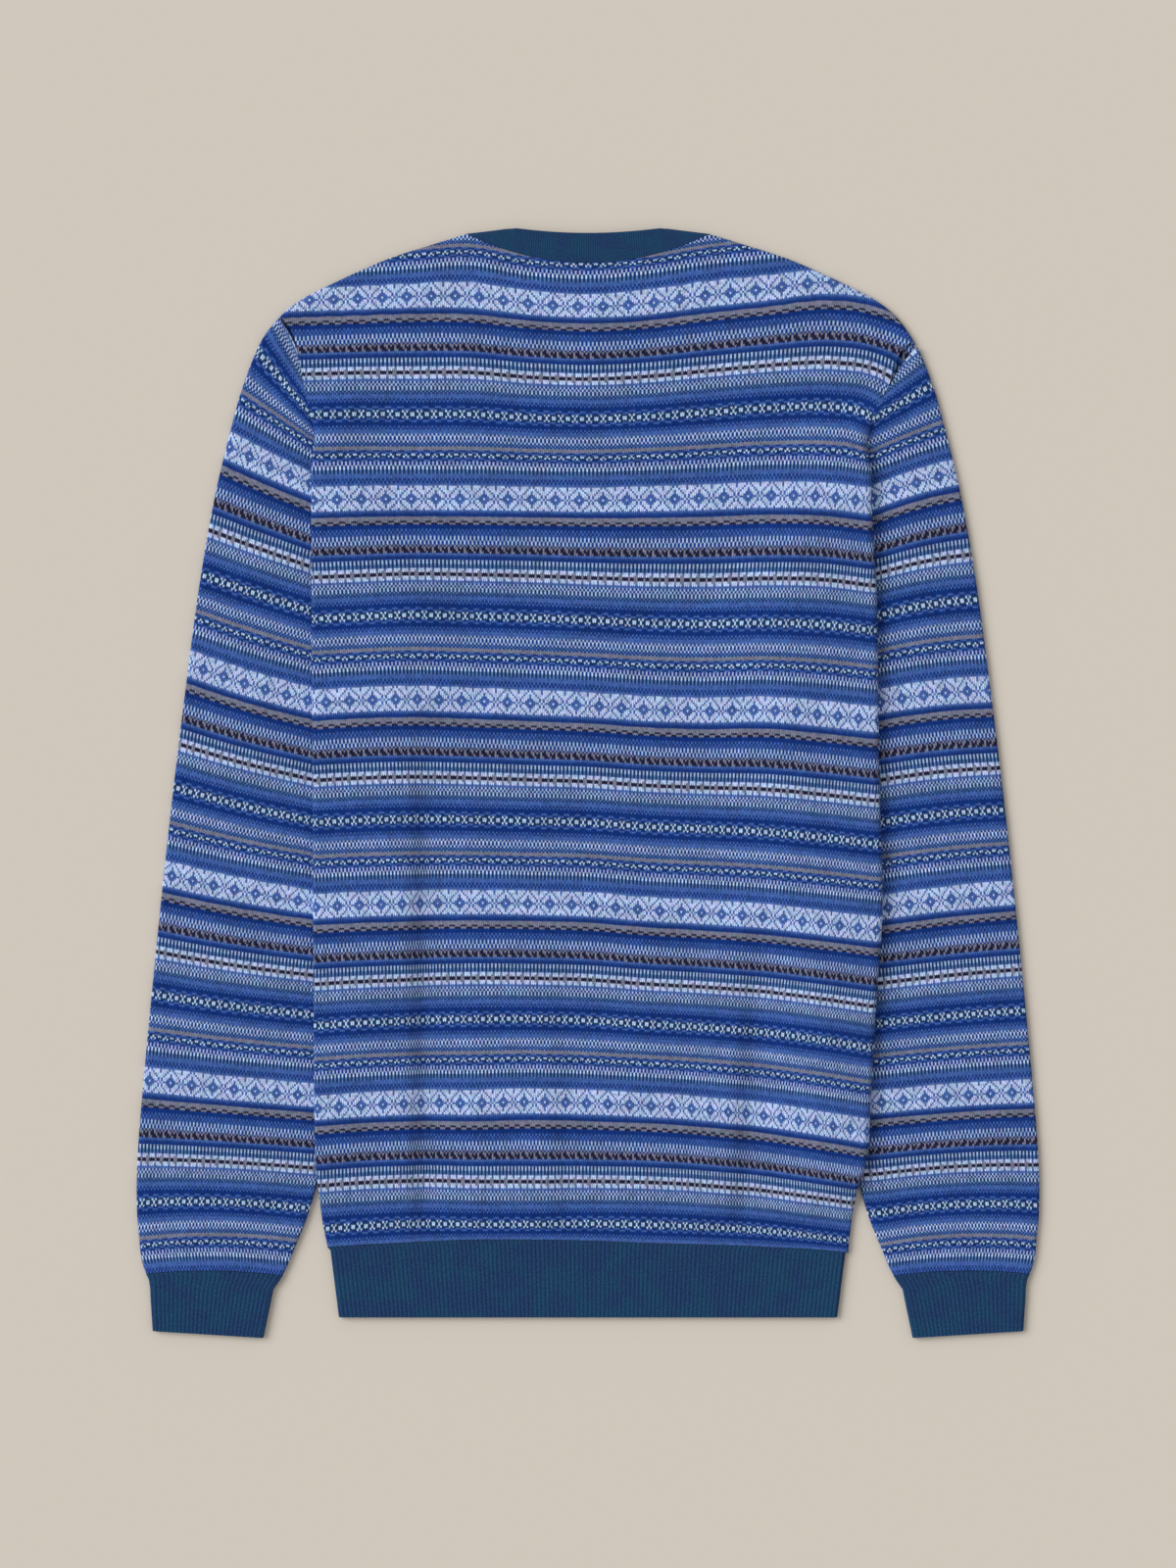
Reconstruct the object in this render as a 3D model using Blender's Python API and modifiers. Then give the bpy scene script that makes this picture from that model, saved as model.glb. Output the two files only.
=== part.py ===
"""Fair isle jumper, laid flat with its back up.

A fine-gauge crew-neck jumper of eight knitted pieces: back, front, two set-in sleeves, and ribbed
collar, hem and cuffs. +X is the wearer's right, +Y runs towards the neck and +Z points up, away
from the surface. The origin is the middle of the outline, on the surface. The sleeves lie beside
the body, and the body's two edges roll over them. Sizes are in millimetres and are scaled to
metres where a mesh is made.
"""

import math
from bisect import bisect_right
from collections import namedtuple

import bmesh
import bpy
from mathutils import Vector

MM = 0.001
COLLECTION_NAME = "fair_isle_jumper"
UP = Vector((0.0, 0.0, 1.0))
TO_NECK = Vector((0.0, 1.0, 0.0))
NEAR = 0.1  # what two heights or places may differ by and still count as one

# The cloth.
WALL = 1.6  # patterned knit, with its floats behind
RIB_WALL = 1.3  # ribbed knit between two ribs
RIB_HEIGHT = 0.35  # how far a rib stands out
RIB_PITCH = 2.7  # one rib and the furrow beside it
SEAM_GAP = 0.3  # what two sewn pieces keep between them

# How high the flattened tubes are.
BODY_HEIGHT = 4.6
SLEEVE_HEIGHT = 4.4
RIB_STAND = 0.2  # the hem and the cuffs are this much higher than the cloth that they are sewn to
EDGE_LIFT = {"left": SLEEVE_HEIGHT + SEAM_GAP, "right": SLEEVE_HEIGHT + SEAM_GAP + 0.8}
EDGE_PUFF = {"left": 0.0, "right": 3.0}  # the right edge's roll is this much fuller
CROWN = 1.7  # the back stands this much higher in its middle
CROWN_FROM_HEM, CROWN_FROM_NECK = 30.0, 80.0  # how far from these it reaches its full height
SLEEVE_PUFF = 0.9

# The body, measured from the middle of the outline.
SHOULDER_Y = {"left": 293.5, "right": 275.0}  # where the sleeve seam meets the shoulder's outline
ROLL_TOP = {"left": 242.0, "right": 238.0}  # where the body's edge starts to roll over the sleeve
ROLL_LENGTH = 46.0  # and how far below that it is rolled by half a turn
RISE_ABOVE, RISE_BELOW = 22.0, 18.0  # the edge rises between these, above and below ROLL_TOP
LIFT_END = (-268.0, -246.0)  # and comes down between these, where the sleeve leaves the body
EDGE_SLOPE = 62.0  # how far in from the edge the back slopes
SHOULDER_SLANT = 30.0  # how far below the sleeve seam's top the rows bend to the shoulder
SEAM_SLOPE = 24.0  # how far in from its seam the front slopes up
FRONT_RISE = (122.0, 64.0)  # the heights between which the front's edge rises onto the sleeve
ROLL_ROOM = 4.8  # how much further out the sleeve's edge is where the roll is half made
SLEEVE_SLANT = 1.0  # how much lower a sleeve's row is at its inner fold, at the cuff
UNDERARM_Y = 98.0
HEM_SEAM_Y = -290.2
NECK_CORNER = (77.0, 346.3)
BACK_NECK_Y = 328.0
FRONT_NECK_Y = 262.0
FRONT_NECK_POWER = 2.6  # above 2 the front neckline is fuller than a parabola
COLLAR_PEAK = (45.0, 350.4)  # the collar's free edge, where it folds over the shoulder
COLLAR_DIP_Y = 347.2
FRONT_COLLAR_Y = 282.0

# The shoulder's outline from the neck to the sleeve, the same on both sides.
Outline = namedtuple("Outline", "x y")
SHOULDER = (
    Outline(77.0, 346.3),
    Outline(102.0, 338.6),
    Outline(123.4, 331.7),
    Outline(143.0, 323.6),
    Outline(168.3, 311.7),
    Outline(183.2, 303.6),
    Outline(195.3, 293.5),
    Outline(204.0, 281.6),
    Outline(207.6, 275.0),
)

SHOULDER_FOLD = (Outline(*COLLAR_PEAK),) + SHOULDER

# The body's outline at each height, out from the middle.
BodyEdge = namedtuple("BodyEdge", "y left right")
BODY_EDGES = (
    BodyEdge(-290.2, 164.6, 164.4),
    BodyEdge(-274.0, 168.0, 166.3),
    BodyEdge(-255.0, 170.3, 170.0),
    BodyEdge(-237.0, 172.2, 176.0),
    BodyEdge(-200.0, 172.8, 178.2),
    BodyEdge(-138.0, 173.2, 181.8),
    BodyEdge(-78.0, 173.6, 185.8),
    BodyEdge(0.0, 174.0, 183.7),
    BodyEdge(110.0, 174.5, 182.3),
    BodyEdge(185.0, 174.8, 178.6),
    BodyEdge(224.0, 174.8, 179.6),
)

# The armhole seam, which passes under the body's edge below the height of 222.
Armhole = namedtuple("Armhole", "y left right")
ARMHOLES = (
    Armhole(98.0, 120.0, 120.0),
    Armhole(140.0, 141.0, 142.0),
    Armhole(180.0, 160.0, 163.0),
    Armhole(205.0, 170.3, 174.3),
    Armhole(224.0, 175.0, 179.8),
    Armhole(240.0, 177.3, 185.7),
    Armhole(259.0, 181.0, 195.3),
    Armhole(275.0, 184.6, 207.0),
    Armhole(293.5, 194.8, 221.0),
)

# The side seams, on the underside.
SideSeam = namedtuple("SideSeam", "y out")
SIDE_SEAM = (
    SideSeam(-290.2, 161.0),
    SideSeam(-250.0, 158.5),
    SideSeam(-180.0, 152.0),
    SideSeam(-100.0, 142.0),
    SideSeam(0.0, 128.0),
    SideSeam(98.0, 118.0),
)

# The sleeve's outer fold, and its inner fold below the underarm, which is under the body to -250.
SleeveFold = namedtuple("SleeveFold", "y out")
SLEEVE_OUTER = (
    SleeveFold(-310.6, 279.3),
    SleeveFold(-305.7, 281.2),
    SleeveFold(-298.2, 282.8),
    SleeveFold(-287.1, 283.8),
    SleeveFold(-274.0, 285.0),
    SleeveFold(-249.2, 285.2),
    SleeveFold(-212.0, 283.0),
    SleeveFold(-112.8, 273.7),
    SleeveFold(-13.6, 263.2),
    SleeveFold(85.6, 251.0),
    SleeveFold(135.2, 244.0),
    SleeveFold(184.8, 235.0),
    SleeveFold(222.0, 226.0),
    SleeveFold(246.8, 219.3),
    SleeveFold(271.6, 210.0),
    SleeveFold(283.0, 204.0),
    SleeveFold(293.5, 195.3),
)
SLEEVE_INNER = (
    SleeveFold(-311.6, 193.0),
    SleeveFold(-305.7, 189.9),
    SleeveFold(-298.2, 186.9),
    SleeveFold(-287.1, 182.2),
    SleeveFold(-275.9, 177.8),
    SleeveFold(-264.8, 174.3),
    SleeveFold(-254.0, 171.2),
    SleeveFold(-240.0, 168.6),
    SleeveFold(-225.0, 165.5),
    SleeveFold(-100.0, 149.0),
    SleeveFold(98.0, 120.0),
)

# The ribs' sections: the outer and inner ends of each flattened ring.
Ring = namedtuple("Ring", "outer_x outer_y inner_x inner_y")
CUFF_RINGS = (
    Ring(279.2, -310.9, 193.0, -311.9),
    Ring(277.4, -314.6, 195.2, -315.6),
    Ring(276.6, -320.0, 199.0, -321.0),
    Ring(276.3, -327.0, 200.6, -328.6),
    Ring(274.9, -346.9, 205.4, -351.2),
)
HEM_HEIGHT = 48.0
HEM_HALF_WIDTH = 157.2  # at its lower edge
HEM_SHOULDER = (2.0, 4.0)  # the rib draws in by this much, over this height below its seam

# Soft folds that hang into the hem's ribs. Width is from side to side, depth below is a trough.
Fold = namedtuple("Fold", "x top bottom width depth")
FOLD_END = 20.0  # how far above the hem's seam a fold starts to fade
BACK_FOLDS = (
    Fold(-106.6, -60.0, -300.0, 30.0, 0.9),
    Fold(-30.0, -150.0, -300.0, 34.0, 0.5),
    Fold(40.0, -130.0, -300.0, 34.0, 0.5),
    Fold(94.2, -90.0, -300.0, 30.0, 0.9),
    Fold(140.7, -110.0, -290.0, 26.0, 0.8),
)

# The heights of the mesh's rows: the body's by its left edge, the sleeve's by its outer fold.
BODY_ROWS = (
    -290.2, -274.0, -262.0, -252.0, -242.0, -225.0, -190.0, -150.0, -105.0, -60.0, -15.0, 30.0,
    70.0, 98.0, 130.0, 162.0, 188.0, 202.0, 213.0, 224.0, 235.0, 246.0, 262.0, 279.0,
)
SHOULDER_ROLL_ROWS = (3.0, 1.2, 0.0)  # below the shoulder's outline
SLEEVE_START = 5.0  # below the shoulder, where the tube is wide enough for its two walls
SLEEVE_NEXT = 4.0  # the least height between that row and the next
SLEEVE_ROWS = (
    60.0, 10.0, -40.0, -90.0, -140.0, -185.0, -220.0, -236.0, -246.0, -256.0, -270.0,
    -284.0, -298.0, -310.9,
)

ROLL_STEPS = 4  # faces round half a turn at a folded edge
RETURN_STEPS = 2
LEAST_RETURN = 1.0  # the shortest straight run from a rolled edge to its seam
UPPER_STEPS, LOWER_STEPS = 5, 3  # faces across a sleeve's top and its underside
ARMHOLE_STEP = 0.8  # the width of the first faces beside the armhole's seam
ARMHOLE_RISE = 25.0  # how far from the seam a sleeve's top rises to the body's edge
SHOULDER_STEPS = 5  # faces along each shoulder
NECK_STEPS = 8

BLUE = (0.075, 0.150, 0.420)
TEAL = (0.018, 0.075, 0.180)
ROUGHNESS = 0.92


# Curves and steps.

def along(table, place, column):
    """The smooth value of a table's column at a place, from rows that rise in their first one."""
    places = [row[0] for row in table]
    values = [getattr(row, column) for row in table]
    place = min(max(place, places[0]), places[-1])
    k = min(bisect_right(places, place) - 1, len(places) - 2)

    def slope(i):
        low, high = max(i - 1, 0), min(i + 1, len(places) - 1)
        return (values[high] - values[low]) / (places[high] - places[low])

    span = places[k + 1] - places[k]
    t = (place - places[k]) / span
    start = (1 + 2 * t) * (1 - t) ** 2 * values[k] + t * (1 - t) ** 2 * span * slope(k)
    end = t * t * (3 - 2 * t) * values[k + 1] - t * t * (1 - t) * span * slope(k + 1)
    return start + end


def ease(value, low, high):
    """0 at low and 1 at high, with a soft start and end. low may be the larger."""
    t = min(max((value - low) / (high - low), 0.0), 1.0)
    return t * t * (3 - 2 * t)


def mix(a, b, t):
    return a + (b - a) * t


# The body's form.

def rolled(y, side):
    """How far the body's edge is rolled over the sleeve: 0 is flat and 1 is half a turn."""
    return ease(y, ROLL_TOP[side], ROLL_TOP[side] - ROLL_LENGTH)


def edge_lift(y, side):
    """How high the body's edge lies over the surface."""
    rise = ease(y, ROLL_TOP[side] + RISE_ABOVE, ROLL_TOP[side] - RISE_BELOW)
    return EDGE_LIFT[side] * rise * ease(y, *LIFT_END)


def edge_height(y, side):
    """How thick the body is at its edge, where the cloth rolls over the sleeve."""
    return BODY_HEIGHT + EDGE_PUFF[side] * rolled(y, side) * ease(y, *LIFT_END)


def seam_out(y, side):
    """The armhole seam, or the side seam below the underarm, out from the middle."""
    if y < UNDERARM_Y - NEAR:
        return along(SIDE_SEAM, y, "out")
    flat = along(ARMHOLES, y, side)
    under = along(BODY_EDGES, y, side) - edge_height(y, side) / 2 - LEAST_RETURN
    return mix(flat, min(flat, under), rolled(y, side))


def sleeve_reach(y, side):
    """How far in the sleeve reaches below the body."""
    if y > UNDERARM_Y:
        return seam_out(y, side)
    return along(SLEEVE_INNER, y, "out")


def shoulder_y(x):
    """The height of the shoulder's outline, out from the neck."""
    return along(SHOULDER, abs(x), "y")


def fold_distance(x, y, line):
    """How far a point lies from the line on which the shoulders or the collar fold."""
    best = math.inf
    for a, b in zip(line, line[1:]):
        run = Vector((b.x - a.x, b.y - a.y))
        offset = Vector((abs(x) - a.x, y - a.y))
        t = min(max(offset.dot(run) / run.dot(run), 0.0), 1.0)
        best = min(best, (offset - t * run).length)
    return best


def roundness(distance, radius):
    """0 on a folded edge and 1 from one radius inside it, along a quarter of a circle."""
    t = min(distance / radius, 1.0)
    return math.sqrt(max(1 - (1 - t) ** 2, 0.0))


def fold_depth(x, y):
    """The sum of the back's soft folds."""
    depth = 0.0
    for fold in BACK_FOLDS:
        across = abs(x - fold.x) / (fold.width / 2)
        if across < 2:
            length = ease(y, fold.top, mix(fold.top, fold.bottom, 0.5))
            trough = math.cos(across * math.pi / 2) * ease(across, 2.0, 1.0)
            depth += fold.depth * length * trough
    return depth * ease(y, HEM_SEAM_Y, HEM_SEAM_Y + FOLD_END)


def back_height(x, y):
    """The height of the back's outer face, before its shoulders round off."""
    side = "left" if x < 0 else "right"
    out = abs(x)
    inner = sleeve_reach(y, side)
    lift = edge_lift(y, side) + edge_height(y, side) - BODY_HEIGHT
    lift *= ease(out, inner - EDGE_SLOPE, inner)
    edge = along(BODY_EDGES, y, side)
    crown = ease(out, edge, edge - EDGE_SLOPE)
    crown *= ease(y, HEM_SEAM_Y, HEM_SEAM_Y + CROWN_FROM_HEM)
    crown *= ease(y, BACK_NECK_Y, BACK_NECK_Y - CROWN_FROM_NECK)
    return BODY_HEIGHT + lift + CROWN * crown - fold_depth(x, y)


def back_point(x, y):
    """A point of the back's outer face."""
    top = back_height(x, y)
    middle = BODY_HEIGHT / 2 + SEAM_GAP / 2
    turn = roundness(fold_distance(x, y, SHOULDER_FOLD), BODY_HEIGHT / 2)
    return (x, y, mix(middle, top, turn))


def front_point(x, y):
    """A point of the front's outer face, which rests on the surface."""
    side = "left" if x < 0 else "right"
    edge = seam_out(y, side)
    lift = edge_lift(y, side) * ease(y, *FRONT_RISE)
    low = lift * ease(abs(x), edge - SEAM_SLOPE, edge)
    middle = BODY_HEIGHT / 2 - SEAM_GAP / 2
    turn = roundness(fold_distance(x, y, SHOULDER_FOLD), BODY_HEIGHT / 2)
    return (x, y, mix(middle, low, turn))


def body_rows():
    """The fraction of the way from the hem to the shoulder, for each row."""
    length = SHOULDER_Y["left"] - HEM_SEAM_Y
    rows = [(y - HEM_SEAM_Y) / length for y in BODY_ROWS]
    return rows + [1 - step / length for step in SHOULDER_ROLL_ROWS]


def side_y(v, side):
    """The height of a row at one side. Below the underarm it is the same on both."""
    y = mix(HEM_SEAM_Y, SHOULDER_Y["left"], v)
    if y <= UNDERARM_Y:
        return y
    t = (y - UNDERARM_Y) / (SHOULDER_Y["left"] - UNDERARM_Y)
    return mix(UNDERARM_Y, SHOULDER_Y[side], t)


def back_neck_y(x):
    """The collar seam at the back of the neck."""
    corner_x, corner_y = NECK_CORNER
    return mix(BACK_NECK_Y, corner_y, min(abs(x) / corner_x, 1.0) ** 2)


def front_neck_y(x):
    """The collar seam at the front of the neck."""
    corner_x, corner_y = NECK_CORNER
    return mix(FRONT_NECK_Y, corner_y, min(abs(x) / corner_x, 1.0) ** FRONT_NECK_POWER)


def neck_places():
    """The places across the neck where a panel's edge has a point."""
    return [-NECK_CORNER[0] * math.cos(math.pi * k / NECK_STEPS) for k in range(NECK_STEPS + 1)]


def neck_edge_y(x, neck_y):
    """The neckline as a panel's edge has it, straight between its points."""
    places = neck_places()
    k = min(max(bisect_right(places, x) - 1, 0), NECK_STEPS - 1)
    t = (x - places[k]) / (places[k + 1] - places[k])
    return mix(neck_y(places[k]), neck_y(places[k + 1]), min(max(t, 0.0), 1.0))


def top_outline(out_left, out_right, neck_y):
    """The panel's upper edge from the left sleeve to the right one, over both shoulders."""
    corner_x = NECK_CORNER[0]
    xs = [mix(-out_left, -corner_x, k / SHOULDER_STEPS) for k in range(SHOULDER_STEPS)]
    xs += neck_places()
    xs += [mix(corner_x, out_right, k / SHOULDER_STEPS) for k in range(1, SHOULDER_STEPS + 1)]
    points = []
    for x in xs:
        if abs(x) < corner_x:
            points.append((x, neck_y(x) - SEAM_GAP / 2))
        else:
            points.append((x, shoulder_y(x)))
    return points


def patch(left, right, bottom, top, u, v):
    """A place inside four edges: a Coons patch between the side points and the end points."""
    result = []
    for axis in (0, 1):
        ends = mix(bottom[u][axis], top[u][axis], v)
        share = (top[u][0] - top[0][0]) / (top[-1][0] - top[0][0])
        sides = mix(left[axis], right[axis], share)
        low = mix(bottom[0][axis], bottom[-1][axis], share)
        high = mix(top[0][axis], top[-1][axis], share)
        result.append(ends + sides - mix(low, high, v))
    return result


def rolled_edge(y, side):
    """The body's edge at one height, from its seam to the start of its top, as (out, z) pairs.

    The cloth leaves the top, turns down through part of a circle and runs straight to the seam,
    but no lower than the sleeve's top.
    """
    height = edge_height(y, side)
    radius = height / 2
    arc = math.pi * radius
    share = rolled(y, side)
    turn = max(math.pi * share, 0.001)
    seam = seam_out(y, side)
    under = max(along(BODY_EDGES, y, side) - radius - seam, LEAST_RETURN)
    straight = mix(LEAST_RETURN, under, share)

    def place(s):
        angle = turn * min(s / arc, 1.0)
        beyond = max(s - arc, 0.0)
        out = arc / turn * math.sin(angle) + beyond * math.cos(turn)
        down = arc / turn * (1 - math.cos(angle)) + beyond * math.sin(turn)
        return out, down

    lift = edge_lift(y, side)
    start = seam - place(arc + straight)[0]
    steps = [arc + straight * (1 - k / RETURN_STEPS) for k in range(RETURN_STEPS)]
    steps += [arc * (1 - k / ROLL_STEPS) for k in range(ROLL_STEPS + 1)]
    return [(start + out, lift + max(height - down, 0.0)) for out, down in map(place, steps)]


# Making a piece.

def make_sheet(rows, closed_rows=()):
    """A quad sheet through rows of points. A closed row's last point is its first one."""
    mesh = bmesh.new()
    grid = []
    for i, row in enumerate(rows):
        line = [mesh.verts.new(Vector(point) * MM) for point in row]
        if i in closed_rows:
            line.append(line[0])
        grid.append(line)
    for low, high in zip(grid, grid[1:]):
        for j in range(len(low) - 1):
            mesh.faces.new((low[j], low[j + 1], high[j + 1], high[j]))
    mesh.normal_update()
    return mesh


def material(name, colour):
    made = bpy.data.materials.new(name)
    made.use_nodes = True
    shader = made.node_tree.nodes["Principled BSDF"]
    shader.inputs["Base Color"].default_value = (*colour, 1.0)
    shader.inputs["Roughness"].default_value = ROUGHNESS
    shader.inputs["Metallic"].default_value = 0.0
    return made


def make_cloth(name, sheet, colour, wall=WALL, rib_columns=0, square_edges=()):
    """Gives a sheet its wall, inwards from the outer face, and raises every other column.

    square_edges has the indices of each sewn edge and the direction that it is cut square to, so
    that it faces the edge of the next piece.
    """
    normals = [vert.normal.copy() for vert in sheet.verts]
    data = bpy.data.meshes.new(name)
    sheet.to_mesh(data)
    sheet.free()
    piece = bpy.data.objects.new(name, data)
    bpy.data.collections[COLLECTION_NAME].objects.link(piece)
    solid = piece.modifiers.new("wall", "SOLIDIFY")
    solid.thickness = wall * MM
    solid.offset = -1.0
    solid.use_even_offset = False
    bpy.context.view_layer.update()
    finished = bpy.data.meshes.new_from_object(
        piece.evaluated_get(bpy.context.evaluated_depsgraph_get())
    )
    piece.modifiers.clear()
    piece.data = finished
    finished.name = name
    for indices, direction in square_edges:
        for index in indices:
            inner = finished.vertices[index + len(normals)]
            lean = (inner.co - finished.vertices[index].co).dot(direction)
            inner.co -= direction * lean
    if rib_columns:
        for index, normal in enumerate(normals):
            if index % rib_columns % 2 == 0:
                finished.vertices[index].co += normal * RIB_HEIGHT * MM
    finished.materials.append(material(name, colour))
    finished.shade_smooth()
    return piece


# The pieces.

def panel_edges(rows):
    """A panel's sewn edges: both shoulders, in its last row, and its lower edge."""
    first = sum(len(row) for row in rows[:-1])
    outer = NECK_CORNER[0] - NEAR
    shoulders = [first + j for j, point in enumerate(rows[-1]) if abs(point[0]) > outer]
    return (shoulders, UP), (range(len(rows[0])), TO_NECK)


def across_ring(ring):
    """The direction along a tube, square to one of its flattened rings."""
    run = Vector((ring.outer_x - ring.inner_x, ring.outer_y - ring.inner_y, 0.0))
    return run.normalized().cross(UP)


def make_back():
    """The back, with both its edges rolled over the sleeves to the seams below."""
    fractions = body_rows()
    strips = {}
    for side in ("left", "right"):
        strips[side] = [rolled_edge(side_y(v, side), side) for v in fractions]
    top = top_outline(strips["left"][-1][-1][0], strips["right"][-1][-1][0], back_neck_y)
    left_end, right_end = strips["left"][0][-1][0], strips["right"][0][-1][0]
    bottom = []
    for point in top:
        share = (point[0] - top[0][0]) / (top[-1][0] - top[0][0])
        bottom.append((mix(-left_end, right_end, share), HEM_SEAM_Y))
    rows = []
    for i, v in enumerate(fractions):
        ends = {}
        edge_points = {}
        for side, sign in (("left", -1), ("right", 1)):
            y = side_y(v, side)
            slant = ease(y, SHOULDER_Y[side] - SHOULDER_SLANT, SHOULDER_Y[side])
            points = []
            for out, z in strips[side][i]:
                raised = y + slant * (shoulder_y(out) - SHOULDER_Y[side])
                if slant > 0:
                    z = back_point(sign * out, raised)[2]
                points.append((sign * out, raised, z))
            edge_points[side] = points
            ends[side] = points[-1][:2]
        row = edge_points["left"]
        for u in range(1, len(top) - 1):
            row.append(back_point(*patch(ends["left"], ends["right"], bottom, top, u, v)))
        rows.append(row + edge_points["right"][::-1])
    return make_cloth("back", make_sheet(rows), BLUE, square_edges=panel_edges(rows))


def make_front():
    """The front, on the surface, with its side edges raised to the seams."""
    fractions = body_rows()
    reach = {side: seam_out(SHOULDER_Y[side], side) for side in ("left", "right")}
    top = top_outline(reach["left"], reach["right"], front_neck_y)
    end = seam_out(HEM_SEAM_Y, "left") - SEAM_GAP
    bottom = []
    for point in top:
        share = (point[0] - top[0][0]) / (top[-1][0] - top[0][0])
        bottom.append((mix(-end, end, share), HEM_SEAM_Y))
    rows = []
    for v in fractions:
        row = []
        left_y, right_y = side_y(v, "left"), side_y(v, "right")
        left = (-seam_out(left_y, "left") + SEAM_GAP, left_y)
        right = (seam_out(right_y, "right") - SEAM_GAP, right_y)
        for u in range(len(top)):
            row.append(front_point(*patch(left, right, bottom, top, u, v)))
        rows.append(row[::-1])
    return make_cloth("front", make_sheet(rows), BLUE, square_edges=panel_edges(rows))


def sleeve_section(outer, inner, open_seam, puff_end, seam_rise):
    """One row of a sleeve, from its inner fold over its top, round the outer fold and back below.

    outer and inner are its folds in plan. An open row ends in the armhole seam, top and bottom,
    and its top rises by seam_rise to the body's edge.
    """
    radius = SLEEVE_HEIGHT / 2
    outer, inner = Vector(outer), Vector(inner)
    width = (outer - inner).length
    across = (outer - inner) / width
    distances = []
    if open_seam:
        for k in range(ROLL_STEPS // 2):
            distances.append((ARMHOLE_STEP * k, 1.0))
        start = ARMHOLE_STEP * ROLL_STEPS / 2
    else:
        for k in range(ROLL_STEPS // 2):
            angle = math.pi * k / ROLL_STEPS
            distances.append((radius * (1 - math.cos(angle)), math.sin(angle)))
        start = radius
    start = min(start, width * 0.4)
    if open_seam:
        distances = [(min(d, start * k / 2), s) for k, (d, s) in enumerate(distances)]
    end = width - min(radius, width * 0.45)
    for k in range(UPPER_STEPS + 1):
        distances.append((mix(start, end, k / UPPER_STEPS), 1.0))
    for k in range(1, ROLL_STEPS):
        angle = math.pi * k / ROLL_STEPS
        distances.append((end + (width - end) * math.sin(angle), math.cos(angle)))
    for k in range(LOWER_STEPS + 1):
        distances.append((mix(end, start, k / LOWER_STEPS), -1.0))
    for k in range(ROLL_STEPS // 2 - 1, -1, -1):
        distance, share = distances[k]
        distances.append((distance, -share))
    if not open_seam:
        distances.pop()
    points = []
    for distance, share in distances:
        place = inner + across * distance
        z = radius + radius * share
        if share == 1.0:
            t = (width - distance) / max(width - puff_end, 1.0)
            z += SLEEVE_PUFF * math.sin(math.pi * min(max(t, 0.0), 1.0)) ** 2
            z += seam_rise * ease(distance, min(ARMHOLE_RISE, width * 0.6), 0.0)
        points.append((place.x, place.y, z))
    return points


def make_sleeve(side):
    """A sleeve: a flattened tube that is open at the armhole and at the cuff."""
    sign = -1 if side == "left" else 1
    rows = []
    closed = []
    start = SHOULDER_Y[side] - SLEEVE_START
    seam_rows = [side_y(v, side) for v in body_rows()]
    seam_rows = [y for y in seam_rows if UNDERARM_Y - NEAR < y < start - SLEEVE_NEXT]
    for y in [start] + seam_rows[::-1] + list(SLEEVE_ROWS):
        outer = (sign * along(SLEEVE_OUTER, y, "out"), y)
        open_seam = y > UNDERARM_Y + NEAR
        if open_seam:
            turn = rolled(y, side)
            inner_out = seam_out(y, side) + SEAM_GAP + ROLL_ROOM * turn * (1 - turn)
            inner_y = y
            seam_rise = max(rolled_edge(y, side)[0][1] - SLEEVE_HEIGHT, 0.0) * (1 - turn)
        else:
            inner_y = y - SLEEVE_SLANT * (UNDERARM_Y - y) / (UNDERARM_Y - SLEEVE_ROWS[-1])
            inner_out = along(SLEEVE_INNER, inner_y, "out")
            seam_rise = 0.0
            closed.append(len(rows))
        body_edge = along(BODY_EDGES, y, side)
        width = abs(outer[0]) - inner_out
        covered = max(body_edge - inner_out, 0.0) * ease(y, *LIFT_END)
        puff_end = min(covered, width * 0.8)
        inner = (sign * inner_out, inner_y)
        rows.append(sleeve_section(outer, inner, open_seam, puff_end, seam_rise))
    sheet = make_sheet(rows, closed)
    if side == "right":
        bmesh.ops.reverse_faces(sheet, faces=sheet.faces)
    sheet.normal_update()
    last = range(len(sheet.verts) - len(rows[-1]), len(sheet.verts))
    end = CUFF_RINGS[0]
    direction = across_ring(Ring(sign * end.outer_x, end.outer_y, sign * end.inner_x, end.inner_y))
    edges = ((last, direction),)
    return make_cloth(f"{side}_sleeve", sheet, BLUE, square_edges=edges)


def flat_ring(start, end, height, base, count):
    """Evenly spaced points round a flattened ring between two ends in plan."""
    radius = height / 2
    start, end = Vector(start), Vector(end)
    across = (end - start).normalized()
    straight = (end - start).length - height
    total = 2 * straight + 2 * math.pi * radius
    points = []
    for k in range(count):
        s = total * k / count
        if s < straight:
            along_ring, z = radius + s, 0.0
        elif s < straight + math.pi * radius:
            angle = (s - straight) / radius
            along_ring = radius + straight + radius * math.sin(angle)
            z = radius * (1 - math.cos(angle))
        elif s < 2 * straight + math.pi * radius:
            along_ring, z = radius + 2 * straight + math.pi * radius - s, height
        else:
            angle = (s - 2 * straight - math.pi * radius) / radius
            along_ring = radius - radius * math.sin(angle)
            z = radius * (1 + math.cos(angle))
        place = start + across * along_ring
        points.append((place.x, place.y, base + z))
    return points


def rib_count(length):
    """The columns for a ribbed edge: two for each rib."""
    return 2 * round(length / RIB_PITCH)


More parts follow.
